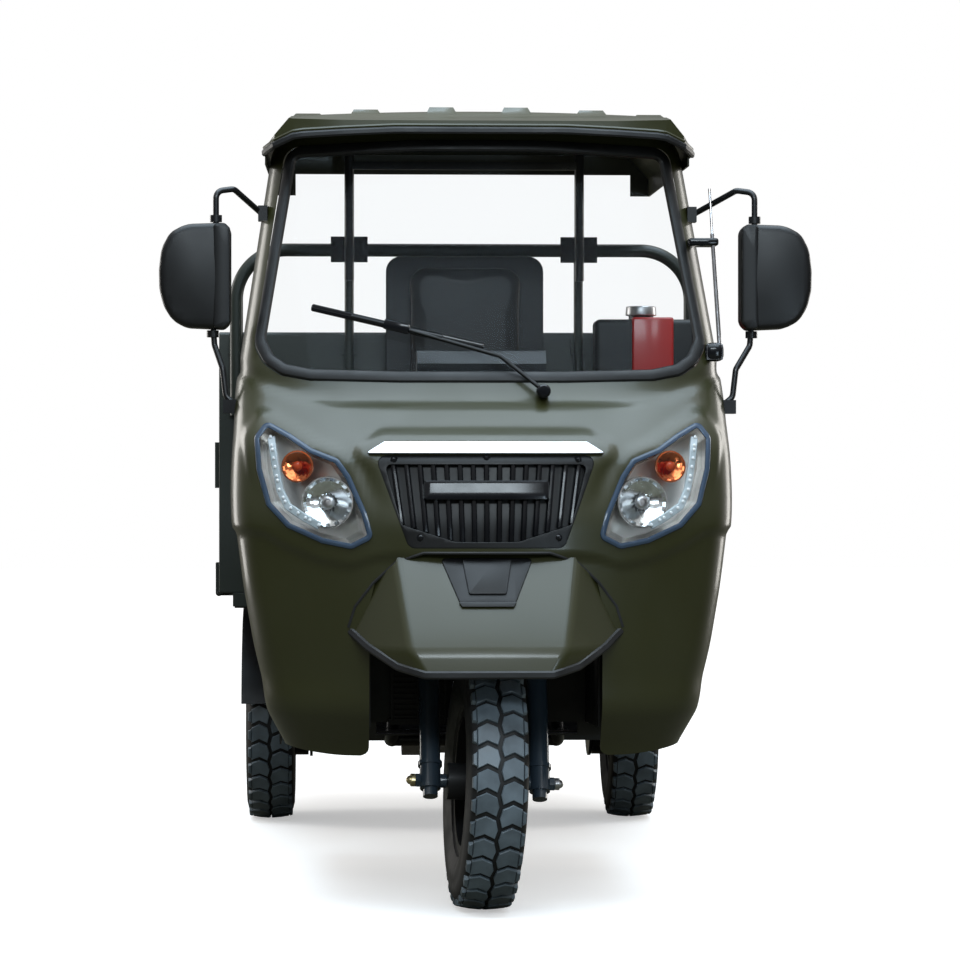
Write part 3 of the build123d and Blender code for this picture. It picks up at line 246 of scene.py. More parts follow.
def leather(name, colour):
    """Artificial leather: small creased cells with a soft shine on their tops."""
    _, tree, shader = material(name, colour, 0.45)
    coordinates = tree.nodes.new("ShaderNodeTexCoord")
    cells = tree.nodes.new("ShaderNodeTexVoronoi")
    cells.feature = "DISTANCE_TO_EDGE"
    cells.inputs["Scale"].default_value = 420
    tree.links.new(coordinates.outputs["Object"], cells.inputs["Vector"])
    tone = noise(tree, 9, 4)
    tree.links.new(ramp(tree, tone, shade(colour, 0.8), shade(colour, 1.3)), shader.inputs["Base Color"])
    tree.links.new(spread(tree, tone, 0.38, 0.52), shader.inputs["Roughness"])
    bump(tree, shader, cells.outputs["Distance"], 0.25, 0.0003)


# %% Materials: this vehicle's finishes
OLIVE = (0.028, 0.0285, 0.0085)
paint("cab_paint", OLIVE)
paint("bed_paint", (0.016, 0.021, 0.016), (0.35, 0.5), 0.25)
paint("frame_paint", (0.007, 0.007, 0.008), (0.25, 0.4), 0.3)
paint("wheel_paint", (0.016, 0.016, 0.017), (0.35, 0.5), 0.2)
paint("grey_paint", (0.12, 0.135, 0.155), (0.35, 0.5), 0.2)
plastic("black_plastic", (0.0045, 0.0045, 0.005), (0.34, 0.46))
plastic("black_gloss", (0.005, 0.0055, 0.007), (0.1, 0.2), 300, 0.00004)
plastic("grey_plastic", (0.09, 0.1, 0.12), (0.4, 0.55))
rubber("rubber", (0.008, 0.008, 0.0085), (0.4, 0.6))
rubber("tyre", (0.006, 0.0062, 0.0068), (0.5, 0.7))
# tread blocks: a lighter, cooler grey than the tyre rubber, partly dust and partly a painted highlight of
# their lit tops
rubber("tread_dust_and_painted_light", (0.095, 0.12, 0.14), (0.3, 0.44))
metal("bright_trim", (0.5, 0.51, 0.54), (0.1, 0.18), 30, 0.00003)
metal("cast", (0.42, 0.42, 0.43), (0.4, 0.6), 220, 0.0004)
metal("zinc", (0.62, 0.52, 0.3), (0.25, 0.4), 120)
metal("mirror", (0.9, 0.91, 0.92), (0.01, 0.03), 4, 0.00001)
clear("clear_glass", (0.985, 0.995, 1.0), 0.0, 0.975)
clear("lamp_glass", (0.98, 0.99, 0.99), 0.0, 0.95)
plastic("tail_glass", (0.35, 0.01, 0.008), (0.08, 0.15), 120, 0.0001)
leather("seat_cover", (0.014, 0.014, 0.015))
metal("reflector", (0.86, 0.87, 0.88), (0.1, 0.22), 90, 0.0002)
metal("bowl_metal", (0.8, 0.77, 0.74), (0.34, 0.46), 6, 0.00001)
metal("amber_reflector", (0.8, 0.2, 0.07), (0.12, 0.2), 6, 0.00001)
plastic("mirror_black", (0.0065, 0.0065, 0.007), (0.34, 0.42), 900, 0.00005)
# the fork's dark paint is given a lighter blue tone: a painted sheen for the highlight on its glossy legs
paint("fork_paint_with_painted_sheen", (0.03, 0.046, 0.064), (0.24, 0.32), 1.0, 0.02)
paint("tank_red", (0.45, 0.012, 0.01), (0.3, 0.4), 0.4)
plastic("amber_bulb", (0.45, 0.05, 0.012), (0.1, 0.2), 60, 0.0001)
plastic("white_plastic", (0.5, 0.55, 0.58), (0.15, 0.25), 500, 0.0001)
plastic("light_point", (0.95, 0.97, 1.0), (0.05, 0.1), 500, 0.0001)
# the glossy black bezel is given a blue-grey colour: a painted highlight along its rim
plastic("bezel_black_with_painted_sheen", (0.045, 0.07, 0.11), (0.1, 0.18), 200, 0.00003)
metal("silver_screw", (0.55, 0.55, 0.56), (0.3, 0.45), 300)
print(len(MATERIALS), "materials")

for name, node in nodes.items():
    node.data.materials.clear()
    node.data.materials.append(MATERIALS[slots[name]])

# %% [markdown]
# ## Studio
# A pale floor runs out of sight and looks white to the camera, but paint and glass mirror a dull one,
# as they do in a real studio. One wide cool light overhead draws the long sheen on hood and roof, two
# tall lights behind mark the edges, and a front and a low light open up the lamps, fork and tyre.

# %% Studio: floor
FLOOR_SIZE = 60
FLOOR_GLOW = 0.44
FLOOR_TONES = ((0.84, 0.84, 0.84), (0.88, 0.88, 0.88))
FLOOR_REFLECTED = (0.11, 0.105, 0.08)
bm = bmesh.new()
bmesh.ops.create_grid(bm, x_segments=1, y_segments=1, size=FLOOR_SIZE / 2)
floor_mesh = bpy.data.meshes.new("studio_floor")
bm.to_mesh(floor_mesh)
bm.free()
studio_floor = bpy.data.objects.new("studio_floor", floor_mesh)
bpy.context.scene.collection.objects.link(studio_floor)
_, tree, shader = material("floor", (0.86, 0.86, 0.86), 0.6)
tree.links.new(ramp(tree, noise(tree, 1.5, 2), *FLOOR_TONES), shader.inputs["Base Color"])
shader.inputs["Specular IOR Level"].default_value = 0
shader.inputs["Emission Color"].default_value = (1, 1, 1, 1)
shader.inputs["Emission Strength"].default_value = FLOOR_GLOW
dull = tree.nodes.new("ShaderNodeBsdfDiffuse")
dull.inputs["Color"].default_value = (*FLOOR_REFLECTED, 1)
seen = tree.nodes.new("ShaderNodeLightPath")
choice = tree.nodes.new("ShaderNodeMixShader")
tree.links.new(seen.outputs["Is Camera Ray"], choice.inputs["Fac"])
tree.links.new(dull.outputs["BSDF"], choice.inputs[1])
tree.links.new(shader.outputs["BSDF"], choice.inputs[2])
tree.links.new(choice.outputs["Shader"], tree.nodes["Material Output"].inputs["Surface"])
floor_mesh.materials.append(MATERIALS["floor"])
print("floor", FLOOR_SIZE, "m")

# %% Studio: sky and lights
SKY_SEEN = 1.0
SKY_AT_HORIZON = 0.04
SKY_OVERHEAD = 0.75
# the height on the dome, as a share, from which the sky is as bright as overhead
SKY_FULL = 0.9
CEILING_POWER = 0.9
CEILING_SPREAD = math.radians(70)
world = bpy.data.worlds.new("studio")
world.use_nodes = True
sky = world.node_tree
backdrop = sky.nodes["Background"]
backdrop.inputs["Color"].default_value = (1, 1, 1, 1)
direction = sky.nodes.new("ShaderNodeTexCoord")
split = sky.nodes.new("ShaderNodeSeparateXYZ")
dome = sky.nodes.new("ShaderNodeMapRange")
dome.inputs["From Min"].default_value = 0.0
dome.inputs["From Max"].default_value = SKY_FULL
dome.inputs["To Min"].default_value = SKY_AT_HORIZON
dome.inputs["To Max"].default_value = SKY_OVERHEAD
rays = sky.nodes.new("ShaderNodeLightPath")
strength = sky.nodes.new("ShaderNodeMix")
strength.inputs[3].default_value = SKY_SEEN
sky.links.new(direction.outputs["Generated"], split.inputs["Vector"])
sky.links.new(split.outputs["Z"], dome.inputs["Value"])
sky.links.new(rays.outputs["Is Camera Ray"], strength.inputs["Factor"])
sky.links.new(dome.outputs["Result"], strength.inputs[2])
sky.links.new(strength.outputs["Result"], backdrop.inputs["Strength"])
bpy.context.scene.world = world
bpy.context.scene.view_settings.view_transform = "Standard"

# columns: name, place, what it looks at, width, height, power, colour
LIGHTS = (
    ("overhead", (0, -1.6, 4.4), (0, -0.8, 0.8), 4.4, 5.0, 225, (0.62, 0.83, 1.0)),
    ("left_edge", (3.4, 1.3, 1.6), (0, -0.4, 1.0), 1.2, 2.6, 50, (1, 0.97, 0.92)),
    ("right_edge", (-3.4, 1.3, 1.6), (0, -0.4, 1.0), 1.2, 2.6, 50, (1, 0.97, 0.92)),
    ("front", (0, -7.2, 3.4), (0, -1.0, 1.2), 3.4, 0.8, 125, (0.8, 0.92, 1.0)),
    ("low", (1.9, -5.6, 0.75), (0, -1.5, 0.45), 0.5, 1.3, 16, (0.68, 0.85, 1.0)),
)
for name, place, target, width, height, power, colour in LIGHTS:
    lamp = bpy.data.lights.new(name, "AREA")
    lamp.shape = "RECTANGLE"
    lamp.size = width
    lamp.size_y = height
    lamp.energy = power
    lamp.color = colour
    light = bpy.data.objects.new(name, lamp)
    light.location = place
    light.rotation_euler = (Vector(target) - Vector(place)).to_track_quat("-Z", "Y").to_euler()
    bpy.context.scene.collection.objects.link(light)
sun = bpy.data.lights.new("ceiling", "SUN")
sun.energy = CEILING_POWER
sun.angle = CEILING_SPREAD
ceiling = bpy.data.objects.new("ceiling", sun)
bpy.context.scene.collection.objects.link(ceiling)
print(len(LIGHTS) + 1, "lights")


# %% [markdown]
# ## Helpers for shapes
# An outline in front view starts as one flat face whose corners are rounded with a vertex bevel. It
# becomes a cutter by extruding it, or a part by giving it depth and laying it on the cab's skin.

# %% Helpers: outlines and pieces
# degrees: edges that stay sharp, edges that a bevel rounds, and faces that are one flat face
SMOOTH_ANGLE, EDGE_ANGLE, FLAT_ANGLE = 32, 30, 0.2
MERGE = 0.00002
# a rounded corner takes up to this share of its shorter edge
CORNER_SHARE = 0.48


def rounded_face(corners, radius=0.0, segments=6):
    """A flat face in front view from (x, z) corners in millimetres, its corners rounded."""
    bm = bmesh.new()
    verts = [bm.verts.new((x * MM, 0, z * MM)) for x, z in corners]
    bm.faces.new(verts)
    for vert in verts if radius else ():
        first, second = (edge.other_vert(vert).co - vert.co for edge in vert.link_edges)
        setback = radius * MM / math.tan(first.angle(second) / 2)
        room = CORNER_SHARE * min(first.length, second.length)
        bmesh.ops.bevel(bm, geom=[vert], affect="VERTICES", offset=min(setback, room), segments=segments,
                        profile=0.5, material=-1)
    return bm


def push(bm, distance):
    """Extrude flat faces along y, in millimetres, to a closed shape, and return its far corners."""
    made = bmesh.ops.extrude_face_region(bm, geom=list(bm.faces), use_keep_orig=True)
    far = [v for v in made["geom"] if isinstance(v, bmesh.types.BMVert)]
    bmesh.ops.translate(bm, verts=far, vec=(0, distance * MM, 0))
    return far


def loop_points(bm):
    """The outline of a one-face bmesh, in order, as (x, z) in millimetres."""
    bm.faces.ensure_lookup_table()
    points = [(vert.co.x / MM, vert.co.z / MM) for vert in bm.faces[0].verts]
    bm.free()
    return points


def symmetric(half):
    """Right-half points followed by their mirror images."""
    return [*half, *[(-x, z) for x, z in reversed(half)]]


# %% Helpers: finished pieces


def as_object(name, bm, *finishes, angle=SMOOTH_ANGLE):
    """A new object from a bmesh, smooth but for edges sharper than the angle."""
    mesh = bpy.data.meshes.new(name)
    bm.to_mesh(mesh)
    bm.free()
    for finish in finishes:
        mesh.materials.append(MATERIALS[finish])
    mesh.shade_smooth()
    mesh.set_sharp_from_angle(angle=math.radians(angle))
    made = bpy.data.objects.new(name, mesh)
    bpy.context.scene.collection.objects.link(made)
    return made


def rest_on(piece, body, slot, *replaced):
    """Say which body a piece rides on and which nodes it stands for; the slot is not used."""
    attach(piece, body)
    if replaced:
        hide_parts(*replaced)
    print(piece.name, len(piece.data.polygons), "faces")
    return piece


def on_cab(name, bm, finish, slot, *replaced, angle=SMOOTH_ANGLE):
    """A finished piece that is fixed to the cab or the chassis."""
    return rest_on(as_object(name, bm, finish, angle=angle), "chassis", slot, *replaced)


# %% Helpers: cutting


def apply_modifiers(piece):
    """Make the result of a piece's modifiers its own mesh."""
    graph = bpy.context.evaluated_depsgraph_get()
    mesh = bpy.data.meshes.new_from_object(piece.evaluated_get(graph), depsgraph=graph)
    piece.modifiers.clear()
    piece.data = mesh
    return piece


def cut(piece, cutters, operation="DIFFERENCE"):
    """Cut closed shapes, given as bmeshes, out of a closed piece."""
    helpers = []
    for cutter in cutters:
        bmesh.ops.recalc_face_normals(cutter, faces=cutter.faces)
        helper = as_object("cutter", cutter)
        modifier = piece.modifiers.new("cut", "BOOLEAN")
        modifier.operation = operation
        modifier.object = helper
        helpers.append(helper)
    apply_modifiers(piece)
    for helper in helpers:
        bpy.data.objects.remove(helper)
    piece.data.shade_smooth()
    piece.data.set_sharp_from_angle(angle=math.radians(SMOOTH_ANGLE))
    return piece


def prism(corners, radius, start, end):
    """A front-view outline pushed along the vehicle from start to end, in millimetres from the nose."""
    bm = rounded_face(corners, radius)
    push(bm, end - start)
    bmesh.ops.translate(bm, verts=bm.verts, vec=at(0, start, 0))
    return bm


def side_prism(corners, radius, half):
    """A side-view outline, as (y, z) from the nose, pushed across the vehicle."""
    bm = rounded_face(corners, radius)
    push(bm, 2 * half)
    bmesh.ops.rotate(bm, verts=bm.verts, cent=(0, 0, 0), matrix=Matrix.Rotation(math.pi / 2, 3, "Z"))
    bmesh.ops.translate(bm, verts=bm.verts, vec=at(half, 0, 0))
    return bm


# %% Helpers: a profile along a path


def sweep(path, outwards, profile, closed=False):
    """A profile, as (across, outward) in millimetres, carried along a path with outward directions."""
    bm = bmesh.new()
    count = len(path)
    frames = []
    for i in range(count):
        before = path[(i - 1) % count] if closed or i else path[i]
        after = path[(i + 1) % count] if closed or i < count - 1 else path[i]
        tangent = (after - before).normalized()
        across = tangent.cross(outwards[i]).normalized()
        outward = across.cross(tangent).normalized()
        turn = Matrix((across, outward, tangent)).transposed().to_4x4()
        frames.append(Matrix.Translation(path[i]) @ turn)
    ring = [bm.verts.new((a * MM, b * MM, 0)) for a, b in profile]
    edges = [bm.edges.new((ring[i - 1], ring[i])) for i in range(len(ring))]
    bmesh.ops.transform(bm, matrix=frames[0], verts=ring)
    if not closed:
        bm.faces.new(ring)
    steps = [*range(1, count), *([0] if closed else [])]
    last = 0
    for i in steps:
        moved = bmesh.ops.extrude_edge_only(bm, edges=edges)
        verts = [v for v in moved["geom"] if isinstance(v, bmesh.types.BMVert)]
        edges = [e for e in moved["geom"] if isinstance(e, bmesh.types.BMEdge)]
        bmesh.ops.transform(bm, matrix=frames[i] @ frames[last].inverted(), verts=verts)
        last = i
    if closed:
        bmesh.ops.remove_doubles(bm, verts=bm.verts, dist=0.00005)
    else:
        bmesh.ops.contextual_create(bm, geom=edges)
    bmesh.ops.recalc_face_normals(bm, faces=bm.faces)
    return bm


# %% Helpers: joining, mirroring and softening


def join(bm, *others):
    """Add other bmeshes to one."""
    for other in others:
        carrier = bpy.data.meshes.new("carrier")
        other.to_mesh(carrier)
        other.free()
        bm.from_mesh(carrier)
        bpy.data.meshes.remove(carrier)
    return bm


def both_sides(bm):
    """Add the mirror image across the vehicle."""
    bmesh.ops.mirror(bm, geom=[*bm.verts, *bm.edges, *bm.faces], merge_dist=0.00001, axis="X")
    bmesh.ops.recalc_face_normals(bm, faces=bm.faces)
    return bm


def soften(name, width, segments, finish=None):
    """A copy of a node with its flat faces merged and its edges rounded, to stand for the node."""
    bm = bmesh.new()
    bm.from_mesh(nodes[name].data)
    bmesh.ops.remove_doubles(bm, verts=bm.verts, dist=MERGE)
    bmesh.ops.dissolve_limit(bm, angle_limit=math.radians(FLAT_ANGLE), verts=bm.verts, edges=bm.edges)
    piece = as_object(f"{name}_finished", bm, finish or slots[name])
    bevel = piece.modifiers.new("edges", "BEVEL")
    bevel.width = width * MM
    bevel.segments = segments
    bevel.limit_method = "ANGLE"
    bevel.angle_limit = math.radians(EDGE_ANGLE)
    bevel.harden_normals = True
    return rest_on(piece, nodes[name]["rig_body"], slots[name], name)


# %% [markdown]
# ## The cab's skin
# The real skin is pressed sheet: wide soft faces, with creases that a die leaves. A fine grid is laid
# round the front, each of its places worked out from plan sections, then raised or sunk by a few
# millimetres round the lamps, the grille and the belt. Solidify gives the sheet its wall, and the
# windshield, grille, lamps and wheel opening are cut out of it.

# %% Cab skin: its sections
CORNER = 120
SKIN = 5
SOFTENED = 26
# columns: height, half width, y of the nose, radius of the front arc
SECTIONS = (
    (360, 452, 215, 900), (470, 491, 148, 900), (600, 524, 135, 900), (740, 549, 131, 900),
    (887, 568, 129, 900), (1040, 573, 158, 900), (1190, 572, 340, 1500), (1850, 477, 603, 1500),
)
# columns: height, y of the side's rear edge
SIDE_EDGE = ((355, 590), (440, 640), (1100, 655), (1200, 700), (1850, 925))
SEAL_HALF = ((190, 1204), (400, 1210), (466, 1223), (504, 1249), (527, 1292), (456, 1769), (150, 1781))
SEAL_LINE = ((190, 1217), (393, 1223), (456, 1236), (493, 1262), (514, 1304), (442, 1757), (150, 1768))
GRILLE_HALF = ((174, 828), (251, 1037))
STRIP_HALF = ((272, 1041), (228, 1069))
LAMP = (
    (496, 1118), (524, 1080), (518, 1005), (495, 923), (448, 873), (369, 838),
    (302, 825), (252, 850), (268, 908), (304, 990), (331, 1029), (391, 1053), (440, 1087),
)
WHEEL_OPENING = ((262, 300), (262, 700), (250, 751), (200, 797), (140, 816))
QUARTER_WINDOW = ((585, 1300), (672, 1300), (807, 1690), (722, 1690))
LAMP_CORNER, GRILLE_CORNER = 18, 20


def between(rows, height):
    """The values of a table at a height, in a straight line between its rows."""
    height = min(max(height, rows[0][0]), rows[-1][0])
    low, high = next((a, b) for a, b in zip(rows, rows[1:]) if height <= b[0])
    share = (height - low[0]) / (high[0] - low[0])
    return [p + (q - p) * share for p, q in zip(low[1:], high[1:])]


def section(z):
    """Half width, nose and front radius of the cab, rounded where the sections meet."""
    rows = [between(SECTIONS, z + step * SOFTENED) for step in (-1, -0.5, 0, 0.5, 1)]
    return [sum(column) / len(rows) for column in zip(*rows)]


def skin_y(x, z):
    """The skin's y at a place on the front."""
    width, nose, radius = section(z)
    edge = width - CORNER
    centre = nose + radius
    if abs(x) <= radius * edge / (radius - CORNER):
        return centre - math.sqrt(radius**2 - x**2)
    corner_y = centre - math.sqrt((radius - CORNER) ** 2 - edge**2)
    return corner_y - math.sqrt(max(CORNER**2 - (abs(x) - edge) ** 2, 0))


def skin_out(x, z):
    """The direction straight out of the skin at a place on the front."""
    step = 3
    across = Vector((2 * step, skin_y(x + step, z) - skin_y(x - step, z), 0))
    up = Vector((0, skin_y(x, z + step) - skin_y(x, z - step), 2 * step))
    return across.cross(up).normalized()


# %% Cab skin: what stands out of it


def rise(value, span, edge=0):
    """A smooth step from 0 to 1, over a span that is measured from an edge."""
    start, end = edge + span[0], edge + span[1]
    share = min(max((value - start) / (end - start), 0), 1)
    return share * share * (3 - 2 * share)


def distance(x, z, corners):
    """How far a place is outside an outline, less than 0 inside it."""
    nearest, inside = 1e9, False
    for (ax, az), (bx, bz) in zip(corners, (*corners[1:], corners[0])):
        dx, dz = bx - ax, bz - az
        share = min(max(((x - ax) * dx + (z - az) * dz) / (dx * dx + dz * dz), 0), 1)
        nearest = min(nearest, math.hypot(x - ax - dx * share, z - az - dz * share))
        if (az > z) != (bz > z) and x < ax + (z - az) / dz * dx:
            inside = not inside
    return -nearest if inside else nearest


GRILLE_SURROUND = symmetric((*GRILLE_HALF, STRIP_HALF[0], STRIP_HALF[1]))
# columns: x, height of the belt's lower edge
BELT = ((0, 815), (203, 812), (252, 806), (302, 788), (369, 800), (448, 832), (500, 862), (600, 872))
# columns: x, height of the crease across the hood
HOOD_CREASE = ((0, 1150), (330, 1152), (430, 1166), (520, 1200), (600, 1240))
LAMP_RIM, LAMP_FADE = 9, (10, 36)
GRILLE_RIM, GRILLE_FADE = 8, (10, 34)
BELT_STEP, BELT_RISE, BELT_FADE = 9, (-12, 8), (60, 260)
HOOD_STEP, HOOD_RISE, HOOD_FADE = 6, (-5, 9), (10, 55)
LEG_FOLD_Z, LEG_RIDGE, LEG_FADE, LEG_FOLD_SLOPE = 452, 8, (0, 90), 0.17


def relief(x, z):
    """How far the skin stands out at a place, in millimetres."""
    x = abs(x)
    lamp = LAMP_RIM * (1 - rise(distance(x, z, LAMP), LAMP_FADE))
    grille = GRILLE_RIM * (1 - rise(distance(x, z, GRILLE_SURROUND), GRILLE_FADE))
    low = between(BELT, x)[0]
    belt = BELT_STEP * rise(z, BELT_RISE, low) * (1 - rise(z, BELT_FADE, low))
    crease = between(HOOD_CREASE, x)[0]
    hood = HOOD_STEP * rise(z, HOOD_RISE, crease) * (1 - rise(z, HOOD_FADE, crease))
    leg = LEG_RIDGE * (1 - rise(z, LEG_FADE, LEG_FOLD_Z)) - max(LEG_FOLD_Z - z, 0) * LEG_FOLD_SLOPE
    return max(lamp, grille, belt) - hood + leg


# %% Cab skin: the grid
ROWS = 150
# columns: number of grid steps, over the front arc, the corner arc and the side
STEPS = (46, 16, 14)
SKIN_BOTTOM, BOTTOM_ROUND, BOTTOM_START = 356, 20, -9
LEG_CORNER = (
    (250, 330), (250, 376), (262, 376), (264, 367), (270, 360.5), (279, 356.5), (292, 355), (292, 330),
)
# columns: reach along the top edge, its height; the reach of the front arc, and of one corner step
ROOF_EDGE = ((0, 1836), (430, 1824), (480, 1782), (505, 1755))
ARC_REACH, CORNER_REACH = 430, 5
HALF_COLUMNS = sum(STEPS)


def skin_place(column, row):
    """Where a grid point lies on the skin, in millimetres from the nose."""
    side = 1 if column >= 0 else -1
    steps = abs(column)
    in_corner = max(min(steps - STEPS[0], STEPS[1]), 0)
    top = between(ROOF_EDGE, min(steps / STEPS[0], 1) * ARC_REACH + in_corner * CORNER_REACH)[0]
    low = SKIN_BOTTOM + BOTTOM_ROUND * rise(steps, (BOTTOM_START, STEPS[1]), STEPS[0])
    z = low + (top - low) * row / ROWS
    width, nose, radius = section(z)
    edge, centre = width - CORNER, nose + radius
    corner_y = centre - math.sqrt((radius - CORNER) ** 2 - edge**2)
    turn = math.asin(edge / (radius - CORNER))
    if steps <= STEPS[0]:
        angle = turn * steps / STEPS[0]
        x, y = radius * math.sin(angle), centre - radius * math.cos(angle)
    elif steps <= STEPS[0] + STEPS[1]:
        angle = turn + (math.pi / 2 - turn) * (steps - STEPS[0]) / STEPS[1]
        x, y = edge + CORNER * math.sin(angle), corner_y - CORNER * math.cos(angle)
    else:
        angle = math.pi / 2
        rear = between(SIDE_EDGE, z)[0]
        x, y = width, corner_y + (rear - corner_y) * (steps - STEPS[0] - STEPS[1]) / STEPS[2]
    out = relief(x, z)
    return side * (x + out * math.sin(angle)), y - out * math.cos(angle), z


bm = bmesh.new()
bmesh.ops.create_grid(bm, x_segments=2 * HALF_COLUMNS, y_segments=ROWS, size=0.5)
for vert in bm.verts:
    column = round(vert.co.x * 2 * HALF_COLUMNS)
    row = round((vert.co.y + 0.5) * ROWS)
    vert.co = at(*skin_place(column, row))
bmesh.ops.recalc_face_normals(bm, faces=bm.faces)
front = min(bm.faces, key=lambda face: face.calc_center_median().y)
if front.normal.y > 0:
    bmesh.ops.reverse_faces(bm, faces=bm.faces)
bmesh.ops.solidify(bm, geom=list(bm.faces), thickness=SKIN * MM)
print("wall", SKIN, "mm, grid", 2 * HALF_COLUMNS, "by", ROWS)

# %% Cab skin: its openings
cab = as_object("cab_skin", bm, "cab_paint")
lamp_right = [(-x, z) for x, z in LAMP]
cut(cab, [
    prism(symmetric(SEAL_HALF), 38, 150, 800),
    prism(symmetric(GRILLE_HALF), GRILLE_CORNER, 0, 420),
    prism(LAMP, LAMP_CORNER, 0, 560),
    prism(lamp_right, LAMP_CORNER, 0, 560),
    prism(symmetric(WHEEL_OPENING), 14, 0, 520),
    prism(LEG_CORNER, 0, 0, 560),
    prism([(-x, z) for x, z in LEG_CORNER], 0, 0, 560),
    side_prism(QUARTER_WINDOW, 16, 700),
])
rest_on(cab, "chassis", "cab_paint", "cab_shell")


# %% [markdown]
# ## Pieces that lie on the skin
# A bezel, a badge plate or a strip is drawn flat in front view with its depth along y, cut into
# small squares so that it can bend, and then each of its points is pushed back onto the skin.

# %% Helpers: laying on the skin


def slices(bm, pitch, axes="xz"):
    """Cut a flat piece at even steps, so that it can bend."""
    for axis in axes:
        normal = Vector((axis == "x", axis == "y", axis == "z"))
        values = [vert.co.dot(normal) for vert in bm.verts]
        place = math.ceil(min(values) / (pitch * MM)) * pitch * MM
        while place < max(values):
            geometry = [*bm.verts, *bm.edges, *bm.faces]
            bmesh.ops.bisect_plane(bm, geom=geometry, dist=MERGE, plane_co=normal * place, plane_no=normal)
            place += pitch * MM
    return bm


def lay(bm):
    """Push a piece drawn in front view, with y as its depth, back onto the raised skin."""
    for vert in bm.verts:
        x, z = vert.co.x / MM, vert.co.z / MM
        vert.co.y += (skin_y(x, z) - relief(x, z) - NOSE_TO_ORIGIN) * MM
    return bm


# %% Helpers: plates with rounded edges


def round_edges(bm, width, segments=2, least=50):
    """Bevel the edges that turn by more than the least angle, in degrees."""
    edges = [e for e in bm.edges if len(e.link_faces) == 2 and e.calc_face_angle() > math.radians(least)]
    bmesh.ops.bevel(bm, geom=edges, affect="EDGES", offset=width * MM, segments=segments, profile=0.5,
                    material=-1, clamp_overlap=True)
    return bm


def plate(corners, radius, front, back, edge, pitch=14, hole=0.0):
    """A plate in front view between two depths, its front edges rounded, with a hole of the same outline."""
    bm = rounded_face(corners, radius)
    if hole:
        inner = list(bm.faces)
        bmesh.ops.inset_region(bm, faces=inner, thickness=hole * MM, use_boundary=True, use_even_offset=True)
        bmesh.ops.delete(bm, geom=inner, context="FACES")
    bmesh.ops.translate(bm, verts=bm.verts, vec=(0, front * MM, 0))
    push(bm, back - front)
    bmesh.ops.recalc_face_normals(bm, faces=bm.faces)
    if edge:
        round_edges(bm, edge)
    return slices(bm, pitch)


# %% Helpers: lines on the skin


def even_steps(points, pitch, closed=False):
    """Points along a line at about the pitch, corners kept."""
    result = []
    ends = [*points[1:], points[0]] if closed else points[1:]
    for (ax, az), (bx, bz) in zip(points, ends):
        count = max(1, round(math.hypot(bx - ax, bz - az) / pitch))
        result += [(ax + (bx - ax) * i / count, az + (bz - az) * i / count) for i in range(count)]
    return result if closed else [*result, points[-1]]


def on_skin(points, depth=0.0, raised=True):
    """Places on the skin and the directions out of it, for a sweep."""
    path, out = [], []
    for x, z in points:
        normal = skin_out(x, z)
        lift = relief(x, z) if raised else 0
        path.append(at(x, skin_y(x, z), z) + normal * (lift - depth) * MM)
        out.append(normal)
    return path, out


# %% Helpers: turned shapes


def spun(places, centre, axis, steps):
    """A line of places spun round an axis through a centre."""
    bm = bmesh.new()
    verts = [bm.verts.new(place) for place in places]
    edges = [bm.edges.new(pair) for pair in zip(verts, verts[1:])]
    bmesh.ops.spin(bm, geom=[*verts, *edges], cent=centre, axis=axis, angle=2 * math.pi, steps=steps,
                   use_merge=True)
    bmesh.ops.remove_doubles(bm, verts=bm.verts, dist=MERGE)
    bmesh.ops.recalc_face_normals(bm, faces=bm.faces)
    return bm


def turned(profile, centre, steps):
    """A shape spun about an axis that points forward through a centre, from (radius, depth) points."""
    places = [centre + Vector((radius, depth, 0)) * MM for radius, depth in profile]
    return spun(places, centre, (0, 1, 0), steps)


# %% [markdown]
# ## Headlamps
# Each lamp is a glossy black bezel round a chromed bowl. In it sit a large faceted reflector with its
# bulb shield, a small amber turn lamp, and a white strip of light points along the outer edge.
# The facets are left flat, because that is what makes a reflector sparkle.

# %% Headlamps: bezels and bowls
BEZEL_WIDTH = 13
MAIN_LAMP, MAIN_RADIUS = (356, 931), 56
TURN_LAMP, TURN_RADIUS = (424, 1012), 34
LIGHT_STRIP = ((486, 1080), (478, 1020), (466, 958), (448, 922), (406, 894), (376, 878))
STRIP_POINTS = 15
FACET_DEPTH = 2.6
BOWL_OVERLAP, BOWL_DEPTH, BOWL_BACK, BOWL_WALL = 4, 58, 8, 2
# how much narrower and lower the bowl's floor is than its mouth
BOWL_TAPER = (0.86, 1, 0.9)

bezel = lay(plate(LAMP, LAMP_CORNER, -6, 12, 5, 12, BEZEL_WIDTH))
# the bezels' blue-grey finish is a painted highlight on black plastic
on_cab("headlamp_bezels", both_sides(bezel), "bezel_black_with_painted_sheen", "grey_plastic", "headlamp_housings")

bowl = rounded_face(LAMP, LAMP_CORNER)
inner = list(bowl.faces)
bmesh.ops.inset_region(bowl, faces=inner, thickness=(BEZEL_WIDTH - BOWL_OVERLAP) * MM, use_boundary=True,
                       use_even_offset=True)
rim = [f for f in bowl.faces if f not in inner]
bmesh.ops.delete(bowl, geom=rim, context="FACES")
far = push(bowl, BOWL_DEPTH)
cover = [f for f in bowl.faces if set(far).isdisjoint(f.verts)]
bmesh.ops.delete(bowl, geom=cover, context="FACES_ONLY")
middle = sum((v.co for v in far), Vector()) / len(far)
bmesh.ops.scale(bowl, verts=far, vec=BOWL_TAPER, space=Matrix.Translation(-middle))
lay(slices(bowl, 16))
bmesh.ops.translate(bowl, verts=bowl.verts, vec=(0, BOWL_BACK * MM, 0))
both_sides(bowl)
bmesh.ops.reverse_faces(bowl, faces=bowl.faces)
